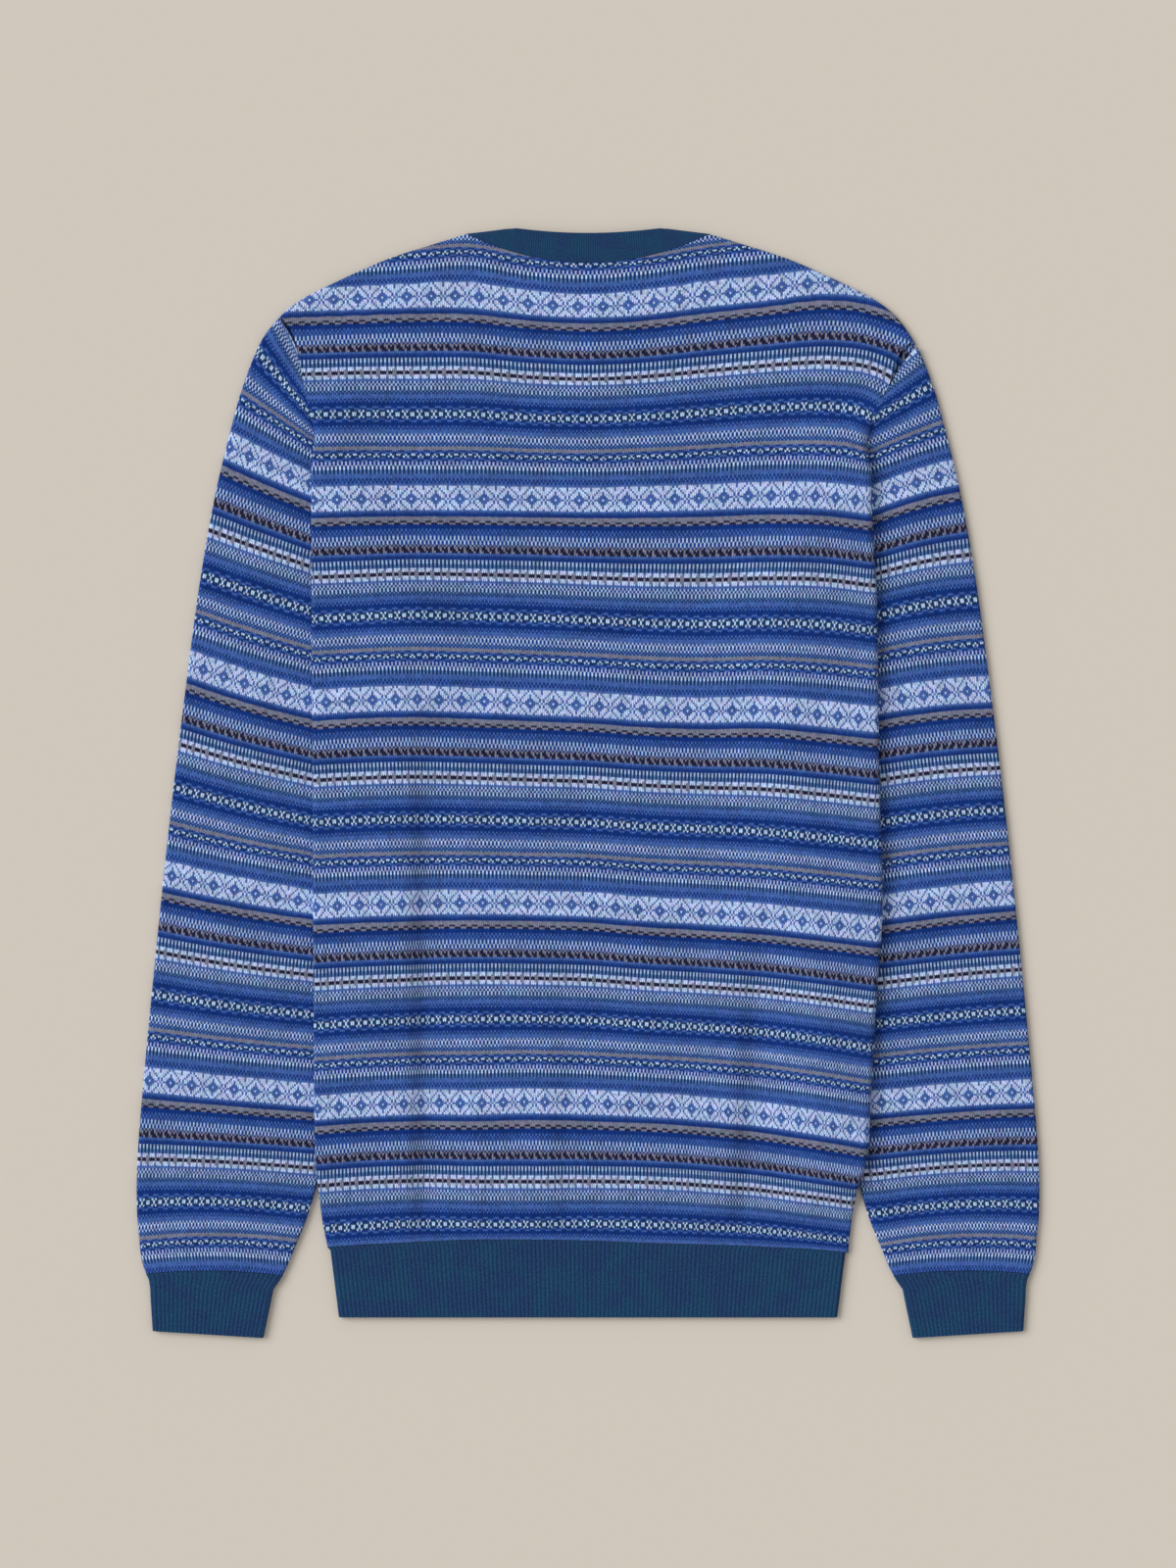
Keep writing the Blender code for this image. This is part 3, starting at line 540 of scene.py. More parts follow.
def make_cloth(name, rows, numbers, wall, closed_rows=(), turn_over=False):
    """A piece through rows of points in millimetres, each with its (stitch, row) numbers."""
    vertices = []
    grid = []
    for i, row in enumerate(rows):
        line = list(range(len(vertices), len(vertices) + len(row)))
        vertices += [[c * MM for c in point] for point in row]
        if i in closed_rows:
            line.append(line[0])
        grid.append(line)
    faces = []
    corners = []
    for i in range(len(grid) - 1):
        for j in range(len(grid[i]) - 1):
            around = [(i, j), (i, j + 1), (i + 1, j + 1), (i + 1, j)]
            if turn_over:
                around.reverse()
            faces.append([grid[a][b] for a, b in around])
            corners += [numbers[a][b] for a, b in around]
    mesh = bpy.data.meshes.new(name)
    mesh.from_pydata(vertices, [], faces)
    layer = mesh.uv_layers.new(name="stitches")
    for corner, (stitch, row) in zip(layer.data, corners):
        corner.uv = (stitch, row)
    piece = bpy.data.objects.new(name, mesh)
    bpy.context.scene.collection.objects.link(piece)
    bpy.ops.object.select_all(action="DESELECT")
    bpy.context.view_layer.objects.active = piece
    piece.select_set(True)
    solid = piece.modifiers.new("wall", "SOLIDIFY")
    solid.thickness = wall * MM
    solid.offset = -1.0
    solid.use_even_offset = False
    bpy.ops.object.modifier_apply(modifier="wall")
    bpy.ops.object.shade_smooth_by_angle(angle=SMOOTH_BELOW)
    area = sum(face.area for face in piece.data.polygons) / 2
    print(name, len(piece.data.polygons), "faces,", round(area, 4), "square metres of cloth")
    return piece


# %% [markdown]
# ## The back
# The back's panel lies between four edges: the hem, both sides, and the neckline with the
# shoulders. A Coons patch fills it: each inner point is a blend of the points on all four
# edges, so the columns follow the sides and the last row follows the neckline.

# %% Edges of a body panel
SHOULDER_STEPS = 42
NECK_STEPS = 48
ROLL_STEPS = 10
RETURN_STEPS = 5
ROW_STEP = 4.2
CORNER_REACH = 30.0
SHOULDER_ROLL_ROWS = (4.4, 3.0, 2.0, 1.2, 0.6, 0.2, 0.0)


def body_fractions():
    """Each row's share of the way from the hem to the shoulder."""
    length = SHOULDER_Y["left"] - HEM_SEAM_Y
    count = round((length - SHOULDER_ROLL_ROWS[0]) / ROW_STEP)
    rows = [k / count * (1 - SHOULDER_ROLL_ROWS[0] / length) for k in range(count)]
    return rows + [1 - step / length for step in SHOULDER_ROLL_ROWS]


def side_y(v, side):
    """A row's y at one side. Below the underarm it is the same on both."""
    y = mix(HEM_SEAM_Y, SHOULDER_Y["left"], v)
    if y <= UNDERARM_Y:
        return y
    t = (y - UNDERARM_Y) / (SHOULDER_Y["left"] - UNDERARM_Y)
    return mix(UNDERARM_Y, SHOULDER_Y[side], t)


def neck_y(x, half):
    """The collar's seam, on the back or the front half of the neck."""
    corner_x, corner_y = NECK_CORNER
    return mix(NECK_Y[half], corner_y, min(abs(x) / corner_x, 1.0) ** NECK_POWER[half])


def top_outline(out_left, out_right, half):
    """The panel's upper edge from the left sleeve to the right one, over both shoulders."""
    corner_x = NECK_CORNER[0]
    xs = [mix(-out_left, -corner_x, k / SHOULDER_STEPS) for k in range(SHOULDER_STEPS)]
    xs += [-corner_x * math.cos(math.pi * k / NECK_STEPS) for k in range(NECK_STEPS + 1)]
    xs += [mix(corner_x, out_right, k / SHOULDER_STEPS) for k in range(1, SHOULDER_STEPS + 1)]
    points = []
    for x in xs:
        inward = corner_x - abs(x)
        seam = neck_y(x, half) - SEAM_GAP / 2 * min(inward, 1.0)
        points.append((x, seam if inward > 0 else shoulder_y(x)))
    return points


def even_bottom(out_left, out_right, top):
    """A panel's lower edge, with its points spaced as along the upper edge."""
    shares = [(x - top[0][0]) / (top[-1][0] - top[0][0]) for x, y in top]
    return [(mix(-out_left, out_right, share), HEM_SEAM_Y) for share in shares]


def raised(x, y, side):
    """A place's y, moved near the sleeve's top so that the last row follows the shoulder."""
    share = ease(y, SHOULDER_Y[side] - CORNER_REACH, SHOULDER_Y[side])
    return y + share * (shoulder_y(x) - SHOULDER_Y[side])


def patch(left, right, bottom, top, u, v):
    """A place inside four edges, by a Coons patch."""
    result = []
    for axis in (0, 1):
        ends = mix(bottom[u][axis], top[u][axis], v)
        share = (top[u][0] - top[0][0]) / (top[-1][0] - top[0][0])
        sides = mix(left[axis], right[axis], share)
        low = mix(bottom[0][axis], bottom[-1][axis], share)
        high = mix(top[0][axis], top[-1][axis], share)
        result.append(ends + sides - mix(low, high, v))
    return result


def panel_row(left, right, bottom, top, v, columns, face_z):
    """The points across one row of a panel, with their stitch and row numbers."""
    points, numbers = [], []
    for u in columns:
        x, y = patch(left, right, bottom, top, u, v)
        z = face_z(x, y)
        y = lowered(x, y)
        points.append((x, y, z))
        numbers.append((body_stitch(x, y), body_row(x, y)))
    return points, numbers


def rolled_edge(y, side):
    """The body's edge at one height, from its seam to its top, as (out, z, length) of the cloth.

    The cloth leaves the top, turns down through part of a circle and runs straight to the seam,
    but no lower than the sleeve's top.
    """
    height = edge_height(y, side)
    radius = height / 2
    arc = math.pi * radius
    share = rolled(y, side)
    turn = max(math.pi * share, LEAST_TURN)
    seam = seam_out(y, side)
    under = max(along(BODY_EDGES, y, side) - radius - seam, LEAST_RETURN)
    straight = mix(LEAST_RETURN, under, share)

    def place(s):
        angle = turn * min(s / arc, 1.0)
        beyond = max(s - arc, 0.0)
        out = arc / turn * math.sin(angle) + beyond * math.cos(turn)
        down = arc / turn * (1 - math.cos(angle)) + beyond * math.sin(turn)
        return out, down, s

    lift = edge_lift(y, side)
    start = seam - place(arc + straight)[0]
    steps = [arc + straight * (1 - k / RETURN_STEPS) for k in range(RETURN_STEPS)]
    steps += [arc * (1 - k / ROLL_STEPS) for k in range(ROLL_STEPS + 1)]
    found = [place(step) for step in steps]
    return [(start + out, lift + max(height - down, 0.0), s) for out, down, s in found]


print("the left edge at y 0 starts", [round(c, 2) for c in rolled_edge(0.0, "left")[0]])

# %% Make the back
fractions = body_fractions()
strips = {side: [rolled_edge(side_y(v, side), side) for v in fractions] for side in SIDES}
top = top_outline(strips["left"][-1][-1][0], strips["right"][-1][-1][0], "back")
bottom = even_bottom(strips["left"][0][-1][0], strips["right"][0][-1][0], top)


def back_edge(i, side):
    """The rolled edge of one row: its points and their stitch and row numbers."""
    sign = SIDES[side]
    y = side_y(fractions[i], side)
    start = strips[side][i][-1][0]
    points, numbers = [], []
    for out, z, length in strips[side][i]:
        place = raised(out, y, side)
        if y > SHOULDER_Y[side] - CORNER_REACH:
            z = back_z(sign * out, place)
        place = lowered(sign * out, place)
        points.append((sign * out, place, z))
        beside = sign * mix(out, start, rolled(y, side))
        numbers.append((body_stitch(sign * (start + length), place), body_row(beside, place)))
    return points, numbers


rows, numbers = [], []
for i, v in enumerate(fractions):
    left, left_numbers = back_edge(i, "left")
    right, right_numbers = back_edge(i, "right")
    ends = [
        (points[-1][0], raised(points[-1][0], side_y(v, side), side))
        for side, points in (("left", left), ("right", right))
    ]
    inner, inner_numbers = panel_row(*ends, bottom, top, v, range(1, len(top) - 1), back_z)
    rows.append(left + inner + right[::-1])
    numbers.append(left_numbers + inner_numbers + right_numbers[::-1])
back = make_cloth("knitted_back", rows, numbers, WALL)

# %% [markdown]
# ## The front
# The front lies on the surface below. It is the same kind of panel with a deeper neckline, and
# its sides rise to the seams that the back's edges roll round to.

# %% Make the front
reach = {side: seam_out(SHOULDER_Y[side], side) for side in SIDES}
top = top_outline(reach["left"], reach["right"], "front")
end = seam_out(HEM_SEAM_Y, "left") - SEAM_GAP
bottom = even_bottom(end, end, top)
rows, numbers = [], []
for v in fractions:
    left_y, right_y = side_y(v, "left"), side_y(v, "right")
    left = (-seam_out(left_y, "left") + SEAM_GAP, left_y)
    right = (seam_out(right_y, "right") - SEAM_GAP, right_y)
    row, row_numbers = panel_row(left, right, bottom, top, v, range(len(top)), front_z)
    rows.append(row)
    numbers.append(row_numbers)
front = make_cloth("knitted_front", rows, numbers, WALL, turn_over=True)

# %% [markdown]
# ## The sleeves
# A sleeve is a flattened tube. Each of its rows starts at the inner fold, or at the armhole's
# seam, runs over the top, turns round the outer fold and comes back below. The stitches are
# counted from the outer fold both ways, so the chart meets itself there as it does on a tube.

# %% Make the sleeves
SLEEVE_TOP = 0.3
UPPER_STEPS = 22
FOLD_STEPS = 12
LOWER_STEPS = 14
SEAM_START = 1.6
INNER_SHARE, OUTER_SHARE = 0.4, 0.45
SEAM_RISE_REACH, SEAM_RISE_SHARE = 25.0, 0.6
PUFF_SHARE = 0.8
PRESSED_FROM = 6.0
CUFF_CURVE_HEIGHTS = (-240.0, -300.0)


def sleeve_profile(width, open_seam):
    """Across one row: (distance from the inner fold, how high) from the top's start to below."""
    radius = SLEEVE_HEIGHT / 2
    half = FOLD_STEPS // 2
    angles = [math.pi * k / FOLD_STEPS for k in range(FOLD_STEPS)]
    if open_seam:
        start = min(SEAM_START, width * INNER_SHARE)
        first = [(start * k / half, 1.0) for k in range(half)]
    else:
        start = min(radius, width * INNER_SHARE)
        first = [(start * (1 - math.cos(a)), math.sin(a)) for a in angles[:half]]
    end = width - min(radius, width * OUTER_SHARE)
    upper = [(mix(start, end, k / UPPER_STEPS), 1.0) for k in range(UPPER_STEPS + 1)]
    outer = [(end + (width - end) * math.sin(a), math.cos(a)) for a in angles[1:]]
    lower = [(mix(end, start, k / LOWER_STEPS), -1.0) for k in range(LOWER_STEPS + 1)]
    return first + upper + outer + lower + [(d, -s) for d, s in first[::-1]]


def sleeve_row(y, side):
    """One row of a sleeve: its points, and their stitch and row numbers."""
    sign = SIDES[side]
    radius = SLEEVE_HEIGHT / 2
    open_seam = y > UNDERARM_Y + HAIR
    outer_out = along(SLEEVE_OUTER, y, "out")
    seam_rise = 0.0
    inner_y = y
    if open_seam:
        turn = rolled(y, side)
        inner_out = seam_out(y, side) + ARMHOLE_GAP + ROLL_ROOM * turn * (1 - turn)
        seam_rise = max(rolled_edge(y, side)[0][1] - SLEEVE_HEIGHT, 0.0) * (1 - turn)
    else:
        inner_y -= SLEEVE_SLANT * (UNDERARM_Y - y) / (UNDERARM_Y - CUFF_RINGS[0].outer_y)
        inner_out = along(SLEEVE_INNER, inner_y, "out")
    width = math.hypot(outer_out - inner_out, y - inner_y)
    covered = max(along(BODY_EDGES, y, side) - inner_out, 0.0) * ease(y, *LIFT_END)
    puff_end = min(covered, width * PUFF_SHARE)
    pressed = ease(covered, 0.0, PRESSED_FROM)
    points, numbers = [], []
    for distance, share in sleeve_profile(width, open_seam):
        t = distance / width
        x = sign * mix(inner_out, outer_out, t)
        rise = CUFF_SEAM_RISE * 4 * t * (1 - t)
        place = mix(inner_y, y, t) + rise * ease(y, *CUFF_CURVE_HEIGHTS)
        z = radius + radius * share
        if share == 1.0:
            across = (width - distance) / max(width - puff_end, 1.0)
            z += SLEEVE_PUFF * math.sin(math.pi * min(max(across, 0.0), 1.0)) ** 2
            z += seam_rise * ease(distance, min(SEAM_RISE_REACH, width * SEAM_RISE_SHARE), 0.0)
            z -= EDGE_PRESS[side] * pressed * ease(abs(distance - covered), PRESS_REACH, 0.0)
        stitch, number = sleeve_place(x, place, side)
        points.append((x, place, z))
        numbers.append((stitch if share >= 0 else -stitch, number))
    return points, numbers


def make_sleeve(side):
    """A sleeve from its top, at the shoulder, to the cuff's seam."""
    start = SHOULDER_Y[side] - SLEEVE_TOP
    end = CUFF_RINGS[0].outer_y + SEAM_GAP
    count = round((start - end) / ROW_STEP)
    heights = [mix(start, end, k / count) for k in range(count + 1)]
    rows, numbers, closed = [], [], []
    for i, y in enumerate(heights):
        points, row_numbers = sleeve_row(y, side)
        if y < UNDERARM_Y + HAIR:
            points.pop()
            closed.append(i)
        rows.append(points)
        numbers.append(row_numbers)
    turn_over = side == "right"
    return make_cloth("knitted_sleeve_" + side, rows, numbers, WALL, closed, turn_over)


sleeves = {side: make_sleeve(side) for side in SIDES}

# %% [markdown]
# ## The ribs
# A rib is a column of stitches that stands out beside one that lies back. Bump alone would leave
# the outline smooth, so each rib is real: four columns of points, of which one is the crest and
# one the furrow. The hem and cuffs are flattened tubes, and the collar is a band that folds over
# at both shoulders.

# %% Ribbed tubes
RIB_COLUMNS = 4
RIB_PROFILE = (-0.35, 0.65, 1.0, 0.65)
RIB_ROW = 1.35
HEM_STEPS, CUFF_STEPS = 8, 3


def flat_ring(start, end, height, base, count):
    """Evenly spaced points of a ribbed ring, flattened between two ends in plan."""
    radius = height / 2
    start, end = Vector(start), Vector(end)
    across = (end - start).normalized()
    straight = (end - start).length - height
    half = straight + math.pi * radius
    points = []
    for k in range(count):
        above, s = divmod(2 * half * k / count, half)
        angle = max(s - straight, 0.0) / radius
        out, up = math.sin(angle), -math.cos(angle)
        ahead, z = radius + min(s, straight) + radius * out, radius * (1 + up)
        if above:
            ahead, z, out, up = straight + height - ahead, height - z, -out, -up
        rib = RIB_HEIGHT * RIB_PROFILE[k % RIB_COLUMNS]
        place = start + across * (ahead + out * rib)
        points.append((place.x, place.y, base + z + up * rib))
    return points


def ribbed_tube(name, rings, height, bend, flip):
    """A flattened ribbed tube. bend gives how far a place on a ring is moved along the tube."""
    core = height - 2 * RIB_HEIGHT
    widths = [math.hypot(r.outer_x - r.inner_x, r.outer_y - r.inner_y) for r in rings]
    count = RIB_COLUMNS * round(2 * sum(widths) / len(widths) / RIB_PITCH)
    rows, numbers = [], []
    depth = 0.0
    for i, ring in enumerate(rings):
        ends = (ring.outer_x, ring.outer_y), (ring.inner_x, ring.inner_y)
        row = flat_ring(*ends, core, RIB_HEIGHT, count)
        rows.append([(x, y + bend(x, i / (len(rings) - 1)), z) for x, y, z in row])
        if i:
            depth += math.dist(rings[i - 1][:2], ring[:2])
        numbers.append([(k / RIB_COLUMNS, depth / RIB_ROW) for k in range(count + 1)])
    return make_cloth(name, rows, numbers, RIB_WALL, range(len(rows)), flip)


def rings_between(rings, steps):
    """More rings between the given ones, along straight lines."""
    made = []
    for a, b in zip(rings, rings[1:]):
        made += [a._make(mix(p, q, k / steps) for p, q in zip(a, b)) for k in range(steps)]
    return made + [rings[-1]]


def hem_bend(x, t):
    """The hem follows its seam, but its lower edge is straight."""
    return hem_hang(x) * (1 - t)


edge = BODY_EDGES[0]
hem_levels = (
    (-edge.left, edge.right, SEAM_GAP),
    (HEM_SHOULDER_IN - edge.left, edge.right - HEM_SHOULDER_IN, HEM_SHOULDER_DOWN),
    (-HEM_HALF_WIDTH, HEM_HALF_WIDTH, HEM_HEIGHT),
)
hem_rings = [(left, HEM_SEAM_Y - down, right, HEM_SEAM_Y - down) for left, right, down in hem_levels]
hem_rings = rings_between(table(RING_COLUMNS, *hem_rings), HEM_STEPS)
hem = ribbed_tube("ribbed_hem", hem_rings, BODY_HEIGHT + RIBS_STAND_OUT, hem_bend, False)


def make_cuff(side):
    """A cuff, sewn below its sleeve."""
    sign = SIDES[side]
    rings = [r._replace(outer_x=sign * r.outer_x, inner_x=sign * r.inner_x) for r in CUFF_RINGS]
    rings = rings_between(rings, CUFF_STEPS)
    seam = CUFF_RINGS[0]
    middle, half = (seam.outer_x + seam.inner_x) / 2, (seam.outer_x - seam.inner_x) / 2

    def cuff_bend(x, t):
        """The cuff's seam curves up in its middle, as the sleeve's last row does."""
        across = min(abs(abs(x) - middle) / half, 1.0)
        return CUFF_SEAM_RISE * (1 - across * across) * (1 - t)

    height = SLEEVE_HEIGHT + RIBS_STAND_OUT
    return ribbed_tube("ribbed_cuff_" + side, rings, height, cuff_bend, side == "right")


cuffs = {side: make_cuff(side) for side in SIDES}

# %% [markdown]
# ## The collar
# The collar is knitted round from the neckline's stitches and ends in a free edge. It folds over
# at the shoulders, where its back half turns into its front half. The back half dips in the
# middle and rises to two soft peaks; from each peak down to the shoulder its outline is the fold.

# %% Make the collar
COLLAR_ROWS = 7
PEAK_ROUNDING = 0.4
PEAK_REACH = 6.0
COLLAR_LEAN = 0.1
COLLAR_STEPS, COLLAR_FOLD_STEPS = 1600, 6
COLLAR_RIB_SHARE, RIBS_FADE = 0.6, (0.92, 0.75)


def collar_top(x):
    """The height of the back half's free edge: a dip between two soft peaks."""
    corner_x, corner_y = NECK_CORNER
    peak_x, peak_y = COLLAR_PEAK
    out = abs(x)
    if out < peak_x:
        y = mix(COLLAR_DIP_Y, peak_y, (out / peak_x) ** 2)
    else:
        y = mix(peak_y, corner_y, (out - peak_x) / (corner_x - peak_x))
    return y - PEAK_ROUNDING * max(1 - abs(out - peak_x) / PEAK_REACH, 0.0) ** 2


def collar_pair(t, half):
    """The collar's seam point and free point in plan. t runs from -1 to 1 across one half."""
    corner_x = NECK_CORNER[0]
    x = corner_x * t
    y = neck_y(x, half)
    lean = 1 - min(shoulder_distance(x, y) / (BODY_HEIGHT / 2), 1.0)
    seam = Vector((x, y + SEAM_GAP / 2 + COLLAR_LEAN * lean))
    free_x = x - (corner_x - COLLAR_FOLD_X) * t ** 3
    free_y = collar_top(free_x)
    if half == "front":
        free_y = mix(FRONT_COLLAR_Y, collar_top(COLLAR_FOLD_X), abs(t) ** NECK_POWER[half])
    return seam, Vector((free_x, free_y))


def collar_places():
    """Evenly spaced places round the collar, as (t, half) pairs, four for each rib."""
    turns = [math.cos(math.pi * k / COLLAR_STEPS) for k in range(COLLAR_STEPS)]
    loop = [(-turn, "back") for turn in turns] + [(turn, "front") for turn in turns]
    loop.append(loop[0])
    middles = [sum(collar_pair(*place), Vector((0.0, 0.0))) / 2 for place in loop]
    lengths = [0.0]
    for a, b in zip(middles, middles[1:]):
        lengths.append(lengths[-1] + (b - a).length)
    count = RIB_COLUMNS * round(lengths[-1] / COLLAR_RIB_PITCH)
    return [loop[bisect_right(lengths, lengths[-1] * k / count) - 1] for k in range(count)]


def make_collar():
    """The collar's rib: a band round the neck, folded over at both shoulders."""
    shares = [k / COLLAR_FOLD_STEPS for k in range(COLLAR_FOLD_STEPS + 1)]
    folded = [mix(COLLAR_PEAK[0], COLLAR_FOLD_X, share) for share in shares]
    fold_line = [(x, collar_top(x)) for x in folded] + [collar_pair(1.0, "back")[0]]
    low, high = RIB_HEIGHT, BODY_HEIGHT - RIB_HEIGHT
    middle, radius = (high + low) / 2, (high - low) / 2
    places = collar_places()
    rows = [[] for _ in range(COLLAR_ROWS + 1)]
    for k, (t, half) in enumerate(places):
        sign = 1 if half == "back" else -1
        seam, free = collar_pair(t, half)
        rib = COLLAR_RIB_SHARE * RIB_HEIGHT * RIB_PROFILE[k % RIB_COLUMNS]
        rib *= ease(abs(t), *RIBS_FADE)
        for i, row in enumerate(rows):
            place = seam.lerp(free, i / COLLAR_ROWS)
            turn = roundness(fold_distance(*place, fold_line), radius)
            row.append((*place, middle + sign * (radius * turn + rib * turn)))
    depths = [(COLLAR_DIP_Y - NECK_Y["back"]) * i / COLLAR_ROWS / RIB_ROW for i in range(len(rows))]
    numbers = [[(k / RIB_COLUMNS, depth) for k in range(len(places) + 1)] for depth in depths]
    return make_cloth("ribbed_collar", rows, numbers, RIB_WALL, range(len(rows)))


collar = make_collar()

# %% [markdown]
# ## The chart
# A fair isle is knitted from a chart: each row uses two yarns at most, in a short repeat. Each
# string here is one repeat of a row, downwards from the top of the snowflakes, and each letter
# is a yarn. The chart is 97 rows high and starts again below.

# %% Yarns and chart
# White, pale, violet, light and plain blue, mid blue and navy; then taupe, black, teal and steel.
YARNS = {
    "W": (188, 206, 244), "P": (158, 182, 224), "V": (158, 174, 226), "L": (182, 206, 236),
    "B": (66, 99, 170), "M": (30, 64, 136), "N": (9, 49, 124),
    "T": (122, 126, 148), "K": (30, 28, 58), "G": (20, 54, 102), "S": (80, 114, 172),
}
SNOWFLAKE = (
    "WWWWBWBWWWWB",
    "WWWBWWWBWWWB",
    "WWBWWBWWBWWW",
    "WBWWWBWWWBWW",
    "BWWWBBBWWWBW",
    "BWWBBBBBWWBW",
    "WBBBBWBBBBWB",
)
CHART = SNOWFLAKE + SNOWFLAKE[5:0:-1] + (
    "B", "M", "N", "T", "T", "KKKTTT", "TTTKKK", "N", "N", "BN", "NB", "BM",
    "PN", "PN", "NP", "NP", "TN", "KKTTKTKT", "KKKTKKKT", "TKKKTKKT", "B", "M", "N",
    "PG", "PG", "SG", "SG", "WWWBWWWB", "WWWTWWTT", "KKKTKKTT", "KKKTKKTT", "WWWTWWTT",
    "WWWBWWWB", "B",
    "PN", "NP", "PG", "PG", "GS", "BG", "B", "B", "NB", "BN", "N", "N",
    "BBBNNN", "NNNBBB", "GGGGLGL", "GLLGGLG", "GLLGGLG", "GGGGLGL", "NNNBBB", "BBBNNN",
    "N", "N", "BN", "NB", "B", "B", "PN", "NW", "NP", "PN", "NS", "SN", "T", "T",
    "NNNBBB", "BBBNNN", "GLLGGLG", "GGGGLGL", "NNNBBB", "BBBNNN",
    "VN", "VN", "NL", "NL", "GS", "GS", "B", "B", "NB", "BN", "B",
)
print("the chart has", len(CHART), "rows")

# %% [markdown]
# ## Finding a stitch's colour
# The UV map gives each place a stitch and a row number. A knitted stitch is a small V, so the
# row's border is bent down in the middle of each stitch before the row is read. Two ramps with
# hard steps hold each row's ground and figure yarn, and a third holds the row's repeat as a
# number whose binary digits say which stitches are figure. A ramp takes 32 stops at most, so a
# long list of rows is split over several.

# %% Helpers for materials
# Each of these adds to tree, the nodes of the material that is being made, and to its shader.
LIGHT_ON_CLOTH = 0.90
RAMP_STOPS = 32


def from_screen(red, green, blue):
    """A yarn's own colour, from how it looks on a screen in this scene's light."""
    def linear(value):
        value /= 255
        return value / 12.92 if value <= 0.04045 else ((value + 0.055) / 1.055) ** 2.4
    return tuple(min(linear(value) / LIGHT_ON_CLOTH, 1.0) for value in (red, green, blue))


def connect(value, socket):
    """Sets a socket to a value, or links another node's output to it."""
    if isinstance(value, bpy.types.NodeSocket):
        tree.links.new(value, socket)
    else:
        socket.default_value = value


def maths(operation, *values):
    """A Math node of one to three values."""
    made = tree.nodes.new("ShaderNodeMath")
    made.operation = operation
    for value, socket in zip(values, made.inputs):
        connect(value, socket)
    return made.outputs[0]


def blend(share, first, second, kind="MIX"):
    """A Mix node for two colours."""
    made = tree.nodes.new("ShaderNodeMix")
    made.data_type = "RGBA"
    made.blend_type = kind
    connect(share, made.inputs["Factor"])
    connect(first, made.inputs["A"])
    connect(second, made.inputs["B"])
    return [s for s in made.outputs if s.type == "RGBA"][0]


def fit(value, low, high, to_low, to_high):
    """A Map Range node, soft at both ends."""
    made = tree.nodes.new("ShaderNodeMapRange")
    made.interpolation_type = "SMOOTHSTEP"
    for setting, socket in zip((value, low, high, to_low, to_high), made.inputs):
        connect(setting, socket)
    return made.outputs[0]


def noise(place, scale, detail=2.0, dimensions="3D"):
    """A Noise node's value, about 0.5 in the middle."""
    made = tree.nodes.new("ShaderNodeTexNoise")
    made.noise_dimensions = dimensions
    made.inputs["Scale"].default_value = scale
    made.inputs["Detail"].default_value = detail
    connect(place, made.inputs["Vector"])
    return made.outputs["Fac"]


def vector(x, y, z=0.0):
    """Three numbers as one vector or colour."""
    made = tree.nodes.new("ShaderNodeCombineXYZ")
    for value, socket in zip((x, y, z), made.inputs):
        connect(value, socket)
    return made.outputs[0]


def look_up(row, values):
    """The colour that a list gives for a row number, from ramps with hard steps."""
    stops = [k for k in range(len(values)) if k == 0 or values[k] != values[k - 1]]
    share = maths("DIVIDE", maths("ADD", row, 0.5), len(values))
    colour = None
    for first in range(0, len(stops), RAMP_STOPS):
        part = stops[first:first + RAMP_STOPS]
        made = tree.nodes.new("ShaderNodeValToRGB")
        ramp = made.color_ramp
        ramp.interpolation = "CONSTANT"
        ramp.elements.remove(ramp.elements[1])
        for k, start in enumerate(part):
            stop = ramp.elements[0] if k == 0 else ramp.elements.new(start / len(values))
            stop.position = 0.0 if k == 0 else start / len(values)
            stop.color = (*values[start], 1.0)
        connect(share, made.inputs["Fac"])
        if colour is None:
            colour = made.outputs["Color"]
        else:
            later = maths("GREATER_THAN", row, part[0] - 0.5)
            colour = blend(later, colour, made.outputs["Color"])
    return colour


def new_material(name):
    """A material, its node tree and its shader."""
    made = bpy.data.materials.new(name)
    made.use_nodes = True
    return made, made.node_tree, made.node_tree.nodes["Principled BSDF"]


def stitch_and_row():
    """The stitch and row number of a place, from the piece's map."""
    uv = tree.nodes.new("ShaderNodeUVMap")
    uv.uv_map = "stitches"
    split = tree.nodes.new("ShaderNodeSeparateXYZ")
    connect(uv.outputs["UV"], split.inputs[0])
    return split.outputs[0], split.outputs[1]


def from_centre(number):
    """How far a number is from half way between whole ones: 0 there, and 1 at both."""
    centred = maths("MULTIPLY_ADD", maths("FRACT", number), 2.0, -1.0)
    return maths("ABSOLUTE", centred)


def finish_wool(colour, bright, height, strength, depth):
    """Wool's plain soft surface: a colour made brighter or darker, and relief in millimetres."""
    shade = vector(bright, bright, bright)
    connect(blend(1.0, colour, shade, "MULTIPLY"), shader.inputs["Base Color"])
    bump = tree.nodes.new("ShaderNodeBump")
    bump.inputs["Strength"].default_value = strength
    bump.inputs["Distance"].default_value = depth * MM
    connect(height, bump.inputs["Height"])
    connect(bump.outputs[0], shader.inputs["Normal"])
    shader.inputs["Roughness"].default_value = 0.95
    shader.inputs["Specular IOR Level"].default_value = 0.15
    shader.inputs["Sheen Weight"].default_value = 0.03
    shader.inputs["Sheen Roughness"].default_value = 0.5


print("a white yarn is", [round(c, 3) for c in from_screen(*YARNS["W"])])

